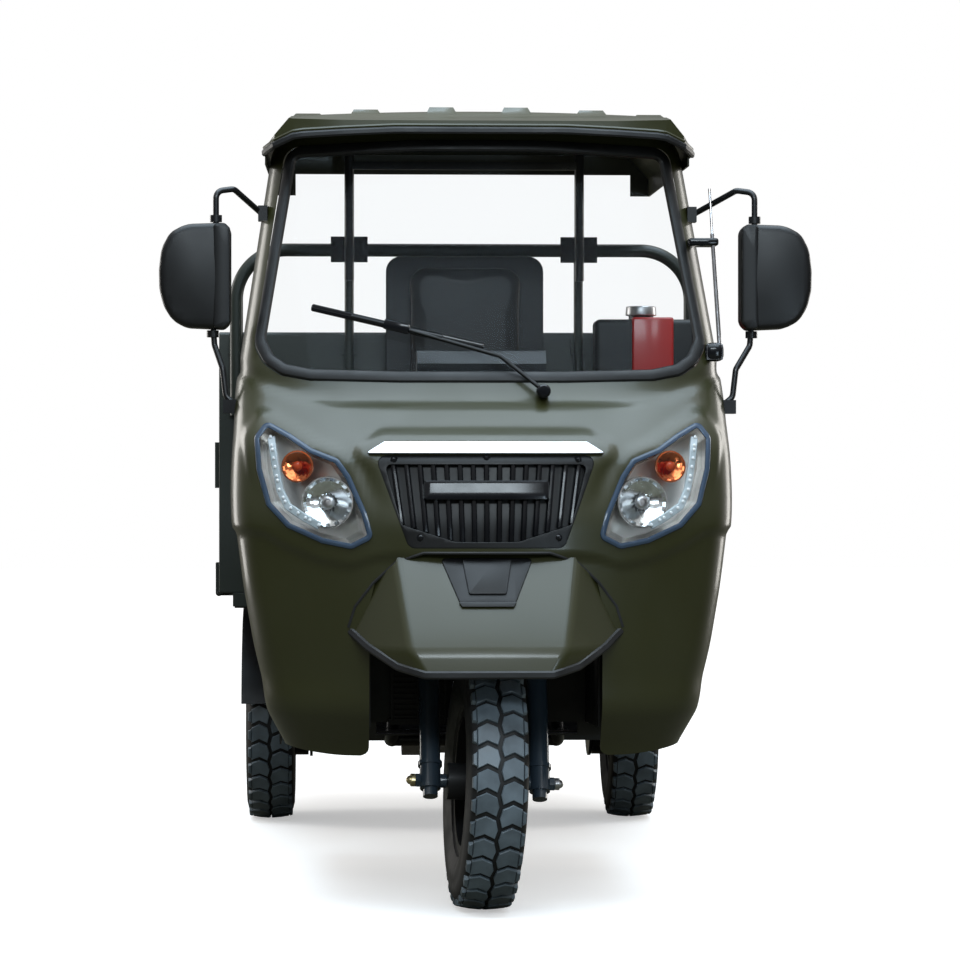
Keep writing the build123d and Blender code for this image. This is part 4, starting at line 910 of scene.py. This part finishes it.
bmesh.ops.solidify(bowl, geom=list(bowl.faces), thickness=-BOWL_WALL * MM)
on_cab("headlamp_bowls", bowl, "bowl_metal", "grey_plastic", angle=60)


# %% Headlamps: reflectors
# a dish's rings as shares of its radius, and the part of it that is faceted
DISH_RINGS = (1.0, 0.86, 0.7, 0.54, 0.38, 0.24)
FACETED = (0.3, 0.95)
FACET_STEP = 0.16


def lamp_centre(place, depth):
    """A lamp's centre before it is laid on the skin, depth millimetres behind it."""
    x, z = place
    return Vector((x, depth, z)) * MM


def dish(place, radius, depth, steps, reach):
    """A faceted reflector with a rolled rim."""
    rim = [(radius + 3, 2), (radius + 2, -2), (radius - 1, -2)]
    shape = [(radius * part, reach * (1 - part * part)) for part in DISH_RINGS]
    back = [(radius * DISH_RINGS[-1], reach + 4), (radius + 3, reach)]
    centre = lamp_centre(place, depth)
    bm = turned([*rim, *shape, *back, rim[0]], centre, steps)
    for vert in bm.verts:
        across, up = (vert.co.x - centre.x) / MM, (vert.co.z - centre.z) / MM
        away = math.hypot(across, up) / radius
        if FACETED[0] < away < FACETED[1] and vert.co.y < centre.y + reach * MM:
            turn = round(math.atan2(up, across) / (2 * math.pi) * steps)
            vert.co.y += FACET_DEPTH * (1 if (turn + round(away / FACET_STEP)) % 2 else -1) * MM
    return bm


for name, place, radius, depth, steps, reach, finish in (
        ("headlamp_reflectors", MAIN_LAMP, MAIN_RADIUS, 16, 30, 30, "reflector"),
        ("turn_lamp_reflectors", TURN_LAMP, TURN_RADIUS, 14, 20, 16, "amber_reflector")):
    dishes = both_sides(lay(dish(place, radius, depth, steps, reach)))
    on_cab(name, dishes, finish, "grey_plastic", angle=8)

# %% Headlamps: bulbs and the strip of light points
# columns of a profile to spin: radius, depth
SHIELD_PROFILE = [(0.01, -12), (8, -11), (14, -6), (17, 2), (17, 22), (12, 24)]
RING_PROFILE = [(8, -13.5), (10, -13), (9, -11.5), (8, -12)]
BULB_PROFILE = [(0.01, -8), (6, -7), (11, -2), (12, 6), (12, 16)]
STRIP_PROFILE = [(-9, -3), (-9, 1), (-7, 3), (7, 3), (9, 1), (9, -3)]
STRIP_DEPTH, POINT_RADIUS, POINT_HEIGHT = 14, 4.5, 4

centre = lamp_centre(MAIN_LAMP, 16)
shields = lay(join(turned(SHIELD_PROFILE, centre, 24), turned(RING_PROFILE, centre, 24)))
on_cab("headlamp_bulb_shields", both_sides(shields), "silver_screw", "grey_plastic")
bulb = lay(turned(BULB_PROFILE, lamp_centre(TURN_LAMP, 18), 20))
on_cab("turn_lamp_bulbs", both_sides(bulb), "amber_bulb", "grey_plastic")
path, out = on_skin(even_steps(LIGHT_STRIP, 10), STRIP_DEPTH)
on_cab("headlamp_strips", both_sides(sweep(path, out, STRIP_PROFILE)), "white_plastic", "grey_plastic")
points = bmesh.new()
step = (len(path) - 1) / (STRIP_POINTS - 1)
for i in range(STRIP_POINTS):
    where = Matrix.Translation(path[min(round(i * step), len(path) - 1)] + out[0] * POINT_HEIGHT * MM)
    bmesh.ops.create_icosphere(points, subdivisions=1, radius=POINT_RADIUS * MM, matrix=where)
on_cab("headlamp_light_points", both_sides(points), "light_point", "grey_plastic", angle=10)


# %% [markdown]
# ## Grille
# A black moulded frame with upright rounded bars that lean out with its sides, a bare raised plate in
# the middle, and domed screws. The frame starts as a thick plate from which the opening is cut.

# %% Grille: frame, screen and bars
GRILLE_OPENING = ((70, 842), (190, 880), (228, 1016))
BARS, BAR_PITCH, BAR_LOW, BAR_HIGH = 15, 29, 838, 1020
BAR_PROFILE = [(-6, -8), (-6, 2), (-4, 5.5), (0, 7), (4, 5.5), (6, 2), (6, -8)]
PLATE_HALF = ((139, 937), (139, 980))
SCREWS = ((-206, 1026), (0, 1030), (206, 1026), (-148, 852), (160, 852))
SCREW_PROFILE = [(0.01, -3), (4, -2.4), (6, -0.5), (6, 1), (9, 1), (9, 3)]
OPENING_CORNER = 12
# the bars' feet stand closer than the pitch, their heads lean out, and the outer ones start higher
FOOT_SHARE, LEAN, BAR_STEPS, BAR_DEPTH = 0.94, 1.1, 12, 12
SILL_Z, SILL_X, SILL_SLOPE = 842, 66, 0.33

blank = as_object("grille_blank", plate(symmetric(GRILLE_HALF), GRILLE_CORNER, 2, 26, 0, 40), "black_plastic")
hole = rounded_face(symmetric(GRILLE_OPENING), OPENING_CORNER)
push(hole, 200)
bmesh.ops.translate(hole, verts=hole.verts, vec=(0, -100 * MM, 0))
cut(blank, [hole])
bm = bmesh.new()
bm.from_mesh(blank.data)
bpy.data.objects.remove(blank)
bmesh.ops.remove_doubles(bm, verts=bm.verts, dist=MERGE)
round_edges(bm, 4, 3, 70)
on_cab("grille_frame", lay(slices(bm, 16)), "black_plastic", "black_plastic", "grille")

screen = lay(plate(symmetric(GRILLE_OPENING), OPENING_CORNER, 22, 25, 0, 16))
on_cab("grille_screen", screen, "black_plastic", "black_plastic")

bars = bmesh.new()
for i in range(BARS):
    foot = (i - (BARS - 1) / 2) * BAR_PITCH * FOOT_SHARE
    head = foot * LEAN
    low = max(BAR_LOW, SILL_Z + (abs(foot) - SILL_X) * SILL_SLOPE)
    share = [step / BAR_STEPS for step in range(BAR_STEPS + 1)]
    line = [(foot + (head - foot) * t, low + (BAR_HIGH - low) * t) for t in share]
    path, out = on_skin(line, BAR_DEPTH)
    join(bars, sweep(path, out, BAR_PROFILE))
on_cab("grille_bars", bars, "black_gloss", "black_plastic")

# %% Grille: name plate, screws and bright strip
badge = lay(plate(symmetric(PLATE_HALF), 5, -4, 14, 2.5, 18))
on_cab("grille_plate", badge, "black_gloss", "black_plastic")
screws = bmesh.new()
for x, z in SCREWS:
    join(screws, turned(SCREW_PROFILE, at(x, skin_y(x, z) - relief(x, z) + 1, z), 16))
on_cab("grille_screws", screws, "black_gloss", "black_plastic")
strip = lay(plate(symmetric(STRIP_HALF), 3, -11, 3, 7, 12))
on_cab("grille_strip", strip, "bright_trim", "bright_trim", "grille_trim")


# %% [markdown]
# ## Windshield seal
# The rubber grips both the skin and the glass, so its profile is a low rounded bead. It is swept
# round the windshield's outline with the skin's own direction as its up.

# %% Windshield seal
SEAL_PROFILE = [(-14, -6), (-14, 2), (-11, 6), (-5, 8), (5, 8), (11, 6), (14, 2), (14, -6)]
seal_line = even_steps(loop_points(rounded_face(symmetric(SEAL_LINE), 32)), 24, closed=True)
path, out = on_skin(seal_line, 0, raised=False)
seal = sweep(path, out, SEAL_PROFILE, closed=True)
on_cab("windshield_gasket", seal, "rubber", "rubber", "windshield_seal")


# %% [markdown]
# ## Nose fender
# The beak over the wheel is a folded form: a flat face in the middle, a facet on each side and a
# chin. Its edges are rounded widely, as a mould needs. Rings of corners are bridged, the folds
# bevelled, and the outline cut as the arch in the body shows it.

# %% Nose fender: the folded skin
# columns: height, front y, front half width, side y, side half width
BEAK = (
    (536, 5.4, 136, 158, 295), (601, 17, 175, 190, 314), (838, 166, 208, 218, 256),
)
BEAK_REAR, BEAK_WALL, BEAK_FOLD = 300, 4, 15
BEAK_OUTLINE = (
    (140, 556), (200, 572), (266, 613), (309, 650), (294, 697), (253, 751), (204, 797), (190, 832),
)

beak = bmesh.new()
rings = []
for height, front_y, front_half, side_y, side_half in BEAK:
    line = [(-side_half, BEAK_REAR), (-side_half, side_y), (-front_half, front_y), (front_half, front_y),
            (side_half, side_y), (side_half, BEAK_REAR)]
    verts = [beak.verts.new(at(x, y, height)) for x, y in line]
    rings.append([beak.edges.new(pair) for pair in zip(verts, verts[1:])])
for lower, upper in zip(rings, rings[1:]):
    bmesh.ops.bridge_loops(beak, edges=[*lower, *upper])
bmesh.ops.recalc_face_normals(beak, faces=beak.faces)
nearest = min(beak.faces, key=lambda face: face.calc_center_median().y)
if nearest.normal.y > 0:
    bmesh.ops.reverse_faces(beak, faces=beak.faces)
folds = [e for e in beak.edges if len(e.link_faces) == 2]
bmesh.ops.bevel(beak, geom=folds, affect="EDGES", offset=BEAK_FOLD * MM, segments=4, profile=0.5,
                material=-1)
bmesh.ops.solidify(beak, geom=list(beak.faces), thickness=BEAK_WALL * MM)
fender = as_object("nose_fender_skin", beak, "cab_paint")
cut(fender, [prism(symmetric(BEAK_OUTLINE), 12, -60, 290)], "INTERSECT")
rest_on(fender, "chassis", "cab_paint", "nose_fender")


def beak_y(x, z):
    """The beak's y at a place in front view."""
    front_y, front_half, side_y, side_half = between(BEAK, z)
    share = min(max((abs(x) - front_half) / (side_half - front_half), 0), 1)
    return front_y + (side_y - front_y) * share


# %% Nose fender: its rubber lip and the gasket along the arch
LIP_HALF = ((309, 650), (266, 613), (200, 572), (140, 556))
ARCH_HALF = ((309, 650), (294, 697), (253, 751), (203, 797), (140, 818))
LIP_PROFILE = [(-9, -4), (-9, 2), (-5, 5), (5, 5), (9, 2), (9, -4)]
GASKET_PROFILE = [(-3, -2), (-3, 2), (0, 3), (3, 2), (3, -2)]
# how far the lip hangs below the beak, and the radius by which it turns outwards
LIP_DROP, LIP_TURN = 4, 900

lip_line = even_steps([(-x, z) for x, z in symmetric(LIP_HALF)], 20)
path = [at(x, beak_y(x, z), z - LIP_DROP) for x, z in lip_line]
out = [Vector((x / LIP_TURN, -1, 0)).normalized() for x, z in lip_line]
on_cab("nose_fender_edge", sweep(path, out, LIP_PROFILE), "rubber", "rubber", "nose_fender_lip")
path, out = on_skin(even_steps(symmetric(ARCH_HALF), 16), 1)
on_cab("arch_gasket", sweep(path, out, GASKET_PROFILE), "rubber", "rubber")

# %% Nose fender: the insert below the grille
INSERT, INSERT_TOP, INSERT_ROLL = ((60, 702), (104, 806)), ((42, 728), (56, 806)), ((58, 700), (66, 712))


def on_beak(bm):
    """Lay a flat piece on the beak's middle face."""
    for vert in bm.verts:
        vert.co.y += (beak_y(0, vert.co.z / MM) - NOSE_TO_ORIGIN) * MM
    return bm


insert = on_beak(plate(symmetric(INSERT), 8, -5, 4, 3, 60))
raised = on_beak(plate(symmetric(INSERT_TOP), 5, -11, -3, 3, 60))
roll = on_beak(plate(symmetric(INSERT_ROLL), 3, -9, 0, 3, 60))
on_cab("nose_insert", join(insert, raised, roll), "black_plastic", "black_plastic", "nose_vent")


# %% [markdown]
# ## Tyres
# The tread is two rows of chunky blocks, staggered, with zigzag grooves. One block is drawn flat,
# repeated at the tread's pitch, and then the whole strip is rolled round the wheel. The carcass
# below is one profile, with the rings that a mould leaves on its sides, spun about the axle.

# %% Tyres: the blocks of the tread
TYRE_RADIUS, TREAD_DEPTH, BLOCKS = 290, 8, 34
# the tread's curve across the tyre, the length in which a block is drawn, and its worn edge
CROWN_RADIUS, DRAWN_LENGTH, BLOCK_EDGE = 255, 60, 1.6
HALF_PROFILE = (
    (48, 152), (48, 163), (53, 171), (57, 173), (62, 186), (68, 204), (69.5, 214), (69, 224), (67, 240),
    (68, 246), (66, 254), (64, 262), (60, 270), (50, 277), (30, 281), (0, 282),
)
# columns: how far round and across a block's corners are, as shares of the pitch and in millimetres
BLOCK = ((0.0, 7), (0.4, 1.5), (0.8, 7), (1.0, 30), (0.8, 52), (0.0, 52), (0.2, 30))
LUG = ((0.08, 53), (0.72, 53), (0.62, 62), (0.18, 62))


def crown(across):
    """The tread's outer radius at a place across it."""
    return TYRE_RADIUS - CROWN_RADIUS + math.sqrt(CROWN_RADIUS**2 - across**2)


def tread_block(corners, turn, side, low):
    """One block of the tread, drawn flat and a metre high, then rolled round the wheel."""
    pitch = 2 * math.pi / BLOCKS
    bm = bmesh.new()
    verts = [bm.verts.new((side * across * MM, share * DRAWN_LENGTH * MM, 0)) for share, across in corners]
    bm.faces.new(verts)
    far = push(bm, 0)
    bmesh.ops.translate(bm, verts=far, vec=(0, 0, 1))
    bmesh.ops.recalc_face_normals(bm, faces=bm.faces)
    top = [e for e in bm.edges if all(v.co.z > 0.5 for v in e.verts)]
    bmesh.ops.bevel(bm, geom=top, affect="EDGES", offset=BLOCK_EDGE * MM, segments=1, profile=0.5,
                    material=-1)
    # the blocks take the second finish, painted lighter than the rubber for dust and for light on their tops
    for face in bm.faces:
        face.material_index = 1
    for vert in bm.verts:
        across = vert.co.x / MM
        round_turn = (vert.co.y / MM / DRAWN_LENGTH + turn) * pitch
        height = 0 if vert.co.z < 0.5 else 1
        drop = (1 - vert.co.z) / MM if height else 0
        radius = (crown(across) - TREAD_DEPTH - low + height * (TREAD_DEPTH + low) - drop) * MM
        vert.co = (vert.co.x, radius * math.sin(round_turn), radius * math.cos(round_turn))
    return bm


# %% Tyres: one function for all three


def wheel_place(node):
    """The centre of a wheel's node and the direction of its axle."""
    low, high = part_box(node)
    axle = next(joint["axis"] for joint in frame["joints"] if joint["child"] == nodes[node]["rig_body"])
    return (Vector(low) + Vector(high)) / 2, Vector(axle)


def turned_to(start, direction, place):
    """The matrix that turns a start direction to another one and moves the origin to a place."""
    turn = Vector(start).rotation_difference(direction).to_matrix().to_4x4()
    return Matrix.Translation(place) @ turn


def tyre(node):
    """A tyre with its tread, standing for its node."""
    profile = [*HALF_PROFILE, *[(-x, r) for x, r in reversed(HALF_PROFILE[:-1])], HALF_PROFILE[0]]
    bm = spun([(x * MM, 0, r * MM) for x, r in profile], (0, 0, 0), (1, 0, 0), 96)
    for i in range(BLOCKS):
        for side, stagger in ((1, 0), (-1, 0.5)):
            join(bm, tread_block(BLOCK, i + stagger, side, 1), tread_block(LUG, i + stagger, side, 6))
    centre, axle = wheel_place(node)
    bmesh.ops.transform(bm, matrix=turned_to((1, 0, 0), axle, centre), verts=bm.verts)
    # the second finish is the tread's, painted lighter for dust and lit tops
    made = as_object(f"{node}_tread", bm, "tyre", "tread_dust_and_painted_light", angle=40)
    return rest_on(made, nodes[node]["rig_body"], "tyre", node)


for node in ("front_tyre", "rear_tyre_left", "rear_tyre_right"):
    tyre(node)


# %% [markdown]
# ## The roof's front edge
# The roof's sheet ends in a rolled flange, and a rubber lip below it sheds the rain. Both are a small
# profile swept along the visor's edge, which bends back and down towards the sides.

# %% Roof: flange and lip
ROOF_FRONT = ((0, 474), (318, 474), (436, 492), (480, 520), (505, 580))
VISOR_EDGE = ((0, 1790), (200, 1790), (430, 1779), (476, 1760), (520, 1737))
VISOR_LIP_PROFILE = [(-8, -3), (-8, 2), (-4, 5), (4, 5), (8, 2), (8, -3)]
FLANGE_PROFILE = [(-4, -2), (-3.5, 2), (0, 4), (3.5, 2), (4, -2)]


def visor_path(rise_by, grow):
    """Places along the visor's lower edge from right to left, and the directions away from it."""
    line = even_steps([(-x, y) for x, y in reversed(ROOF_FRONT)] + list(ROOF_FRONT[1:]), 22)
    path, out = [], []
    for i, (x, y) in enumerate(line):
        before, after = line[max(i - 1, 0)], line[min(i + 1, len(line) - 1)]
        away = Vector((after[1] - before[1], before[0] - after[0], 0)).normalized()
        path.append(at(x, y, between(VISOR_EDGE, abs(x))[0] + rise_by) + away * grow * MM)
        out.append(away)
    return path, out


lip = sweep(*visor_path(5, 1), VISOR_LIP_PROFILE)
on_cab("visor_lip", lip, "rubber", "rubber", "roof_edge_trim")
flange = sweep(*visor_path(17, 0), FLANGE_PROFILE)
on_cab("visor_flange", flange, "cab_paint", "cab_paint")

# %% [markdown]
# ## Solids with rounded edges
# No pressed, welded or moulded edge is quite sharp, and it is the light along a rounded edge that
# shows a part's size. Solids that already have their real shape get a merged copy with a small bevel.

# %% Solids with rounded edges
# columns: node, width of the rounding, segments, finish where it isn't the slot's
ROUNDED = (
    ("roof_panel", 3, 2, None), ("roof_posts", 1.5, 1, None),
    ("backrest_panel", 2, 2, None), ("bed_front_panel", 3, 2, None), ("bed_floor", 2, 1, None),
    ("bed_side_left", 3, 2, None), ("bed_side_right", 3, 2, None), ("tailgate", 3, 2, None),
    ("seat_base", 3, 2, None), ("rear_bumper", 3, 2, None), ("rear_lamps", 4, 2, None),
    ("main_frame", 2, 1, None), ("engine", 3, 2, None), ("dashboard", 3, 2, None),
    ("wheel_well", 4, 2, "black_plastic"), ("floor_pan", 2, 1, None), ("radiator", 1, 1, "black_plastic"),
    # the fork's finish carries a painted blue sheen
    ("front_fork", 1.2, 2, "fork_paint_with_painted_sheen"), ("fuel_tank", 2, 2, "black_plastic"), ("antenna", 3, 2, None),
    ("pedals", 2, 2, None), ("leaf_springs", 1.5, 1, None), ("rear_mudguards", 1.2, 1, None),
)
for name, width, segments, finish in ROUNDED:
    soften(name, width, segments, finish)

# %% [markdown]
# ## Fuel tank and antenna
# The tank hangs in a red strap and has a plated cap, and the antenna's rod is held by a foot and a
# clip. They are blocks and a short cone, set over the solids because their material is another one.

# %% Fuel tank: its strap and cap


def block_on(node, name, x, y, z, width, finish):
    """A block with rounded edges, its sides given as pairs of places, on a node of the cab."""
    block = bmesh.new()
    bmesh.ops.create_cube(block, size=1)
    for vert in block.verts:
        vert.co = at(*[pair[value > 0] for pair, value in zip((x, y, z), vert.co)])
    round_edges(block, width, 3, EDGE_ANGLE)
    return on_cab(name, block, finish, slots[node])


CAP_PLACE = at(458, 1435, 1420)
CAP_BASE, CAP_TOP, CAP_HEIGHT = 40.5, 38.5, 24

block_on("fuel_tank", "tank_strap", (430, 538), (1375, 1493), (1074, 1402), 6, "tank_red")
cap = bmesh.new()
bmesh.ops.create_cone(cap, cap_ends=True, segments=40, radius1=CAP_BASE * MM, radius2=CAP_TOP * MM,
                      depth=CAP_HEIGHT * MM, matrix=Matrix.Translation(CAP_PLACE))
round_edges(cap, 3, 3, 40)
on_cab("tank_cap", cap, "silver_screw", slots["fuel_tank"])

# %% Antenna: its foot and clip
block_on("antenna", "antenna_foot", (525, 569), (466, 503), (1258, 1302), 14, "black_gloss")
block_on("antenna", "antenna_clip", (492, 563), (529, 603), (1532, 1550), 6, "black_gloss")

# %% [markdown]
# ## Wiper
# The blade hangs in a holder, a bridge and a hinge, three flat bars one in front of the other, and the
# arm's foot is covered by a turned knob.

# %% Wiper: the blade's holder and hinge, and the knob
# columns: start and end as x and height, distance off the glass, width, thickness, rounding
WIPER_BARS = (
    ((-392, 1381), (2, 1286), 15, 17, 10, 3),
    ((-300, 1359), (-92, 1309), 23, 13, 8, 3),
    ((-226, 1341), (-168, 1327), 28, 24, 14, 4),
)
KNOB_PROFILE = [(0.01, -34), (12, -33), (16, -28), (17, -6), (14, 4)]
KNOB_PLACE = (137, 1184, 10)


def beam(start, end, wide, thick, edge):
    """A flat bar between two places, its edges rounded."""
    bm = bmesh.new()
    bmesh.ops.create_cube(bm, size=1)
    along = end - start
    bmesh.ops.scale(bm, verts=bm.verts, vec=(along.length, thick * MM, wide * MM))
    round_edges(bm, edge, 2, 40)
    placed = turned_to((1, 0, 0), along.normalized(), (start + end) / 2)
    bmesh.ops.transform(bm, matrix=placed, verts=bm.verts)
    return bm


def off_glass(x, z, depth):
    """A place in front of the windshield."""
    return at(x, skin_y(x, z) - depth, z)


wiper_bars = bmesh.new()
for start, end, depth, wide, thick, edge in WIPER_BARS:
    join(wiper_bars, beam(off_glass(*start, depth), off_glass(*end, depth), wide, thick, edge))
on_cab("wiper_holder", wiper_bars, "black_gloss", slots["wiper"])
knob = turned(KNOB_PROFILE, off_glass(*KNOB_PLACE), 24)
on_cab("wiper_knob", knob, "black_gloss", slots["wiper"])

# %% [markdown]
# ## Mirrors
# A mirror's housing is a shell with a softly crowned front, so that the wind passes it. An outline is
# pushed back, its front edge bevelled, its front face crowned, and a recess cut for the glass.

# %% Mirrors: the crowned housings
HEAD = (
    (596, 1347), (596, 1566), (610, 1580), (700, 1577), (737, 1557), (757, 1520), (763, 1470),
    (762, 1425), (752, 1385), (732, 1353), (700, 1336), (612, 1332),
)
HEAD_FRONT, HEAD_REAR, HEAD_GLASS, HEAD_WALL, RECESS_DEPTH = 484, 556, 546, 8, 60
HEAD_CORNER, HEAD_EDGE = 70, 16
# the crown's height, its middle and half size, and how far back it fades
HEAD_CROWN, CROWN_X, CROWN_Z, CROWN_HALF, CROWN_FADE = 9, 679, 1456, (84, 125), (0, 40)
# both mirrors sit this far to the vehicle's left of a symmetric pair
SHIFT = 15


def on_side(corners, side):
    """An outline of the left mirror, or its image on the right."""
    return [((x + side * SHIFT) * side, z) for x, z in corners]


for side, name in ((1, "mirror_housing_left"), (-1, "mirror_housing_right")):
    head = rounded_face(on_side(HEAD, side), HEAD_CORNER, 5)
    push(head, HEAD_REAR - HEAD_FRONT)
    edges = [e for e in head.edges if all(v.co.y < MM for v in e.verts)]
    bmesh.ops.bevel(head, geom=edges, affect="EDGES", offset=HEAD_EDGE * MM, segments=5, profile=0.5,
                    material=-1, clamp_overlap=True)
    slices(head, 14)
    (middle_x, middle_z), = on_side([(CROWN_X, CROWN_Z)], side)
    for vert in head.verts:
        near = 1 - rise(vert.co.y / MM, CROWN_FADE)
        x = (vert.co.x / MM - middle_x) / CROWN_HALF[0]
        z = (vert.co.z / MM - middle_z) / CROWN_HALF[1]
        vert.co.y -= HEAD_CROWN * near * max(1 - x * x, 0) * max(1 - z * z, 0) * MM
    bmesh.ops.translate(head, verts=head.verts, vec=at(0, HEAD_FRONT, 0))
    bmesh.ops.recalc_face_normals(head, faces=head.faces)
    housing = as_object(name, head, "mirror_black")
    recess = rounded_face(on_side(HEAD, side), HEAD_CORNER, 5)
    bmesh.ops.inset_region(recess, faces=list(recess.faces), thickness=HEAD_WALL * MM, use_boundary=True,
                           use_even_offset=True)
    rim = sorted(recess.faces, key=lambda face: face.calc_area())[:-1]
    bmesh.ops.delete(recess, geom=rim, context="FACES")
    push(recess, RECESS_DEPTH)
    bmesh.ops.translate(recess, verts=recess.verts, vec=at(0, HEAD_GLASS, 0))
    cut(housing, [recess])
    replaced = ["mirror_heads"] if side == 1 else []
    rest_on(housing, "chassis", slots["mirror_heads"], *replaced)

# %% Mirrors: the raised spine that holds the tube
SPINE = ((597, 1348), (597, 1567), (610, 1578), (636, 1577), (636, 1334), (612, 1333))
spines = bmesh.new()
for side in (1, -1):
    spine = plate(on_side(SPINE, side), 8, -7, 6, 6, 80)
    bmesh.ops.translate(spine, verts=spine.verts, vec=at(0, HEAD_FRONT, 0))
    join(spines, spine)
bmesh.ops.recalc_face_normals(spines, faces=spines.faces)
on_cab("mirror_spines", spines, "mirror_black", slots["mirror_heads"])

# %% [markdown]
# ## Front axle
# A cap nut closes each end of the axle: a six-sided nut with a dome. The left one is bright and the
# right one is zinc plated, with its yellow cast.

# %% Front axle: cap nuts
NUT_RADIUS, NUT_HEIGHT, DOME_RADIUS, DOME_RISE = 16, 11, 10.5, 5
NUT_REACH = 166


def cap_nut(place, axis, reach):
    """A hexagon nut with a domed cap on the end of the axle."""
    bm = bmesh.new()
    bmesh.ops.create_cone(bm, cap_ends=True, segments=6, radius1=NUT_RADIUS * MM, radius2=NUT_RADIUS * MM,
                          depth=NUT_HEIGHT * MM)
    round_edges(bm, 1, 1, 20)
    dome = bmesh.new()
    bmesh.ops.create_uvsphere(dome, u_segments=20, v_segments=10, radius=DOME_RADIUS * MM)
    bmesh.ops.translate(dome, verts=dome.verts, vec=(0, 0, DOME_RISE * MM))
    join(bm, dome)
    placed = turned_to((0, 0, 1), axis * reach, place + axis * reach * MM)
    bmesh.ops.transform(bm, matrix=placed, verts=bm.verts)
    return bm


hub, axle = wheel_place("front_tyre")
axle = axle if axle.x > 0 else -axle
for side, name, finish in ((1, "axle_nut_left", "silver_screw"), (-1, "axle_nut_right", "zinc")):
    nut = as_object(name, cap_nut(hub, axle, side * NUT_REACH), finish)
    rest_on(nut, nodes["front_fork"]["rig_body"], "frame_paint")

# %% [markdown]
# ## Cushions
# Both pads are foam in a sewn cover. Their solids are drawn in a little, remeshed, and blown up again
# as cloth with air in it, so that their faces crown and their sides pull in between the corners.

# %% Cushions: the stuffing
CLOTH_FRAMES = 20
AIR_PRESSURE = 4
# how far a pad may stand above its solid
STANDS_PROUD = 4


def stuffed(name, shrink, limit, voxel):
    """A padded copy of a node."""
    low, high = (Vector(corner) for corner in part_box(name))
    middle, size = (low + high) / 2, high - low
    bm = bmesh.new()
    bm.from_mesh(nodes[name].data)
    for vert in bm.verts:
        for axis in range(3):
            share = (size[axis] - 2 * shrink * MM) / size[axis]
            vert.co[axis] = middle[axis] + (vert.co[axis] - middle[axis]) * share
    pad = as_object(f"{name}_pad", bm, slots[name])
    remesh = pad.modifiers.new("even", "REMESH")
    remesh.mode = "VOXEL"
    remesh.voxel_size = voxel * MM
    apply_modifiers(pad)
    start = [vert.co.copy() for vert in pad.data.vertices]
    cloth = pad.modifiers.new("stuffing", "CLOTH")
    cloth.settings.use_pressure = True
    cloth.settings.uniform_pressure_force = AIR_PRESSURE
    cloth.settings.effector_weights.gravity = 0
    cloth.point_cache.frame_end = CLOTH_FRAMES
    for step in range(1, CLOTH_FRAMES + 1):
        bpy.context.scene.frame_set(step)
    apply_modifiers(pad)
    for vert, was in zip(pad.data.vertices, start):
        moved = vert.co - was
        if moved.length > limit * MM:
            vert.co = was + moved.normalized() * limit * MM
    bpy.context.scene.frame_set(1)
    for vert in pad.data.vertices:
        for axis in range(3):
            vert.co[axis] = min(max(vert.co[axis], low[axis]), high[axis] + STANDS_PROUD * MM)
    smooth = pad.modifiers.new("smooth", "SUBSURF")
    smooth.levels = smooth.render_levels = 1
    apply_modifiers(pad)
    pad.data.shade_smooth()
    pad.data.materials.clear()
    pad.data.materials.append(MATERIALS[slots[name]])
    rest_on(pad, nodes[name]["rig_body"], slots[name], name)
    return pad


# columns: node, how much smaller it starts, how far it may grow, size of the mesh, share of foam
PADS = (("seat_cushion", 9, 13, 9, 0.8), ("seat_backrest", 8, 12, 9, 0.8))
for name, shrink, limit, voxel, fill in PADS:
    stuffed(name, shrink, limit, voxel)
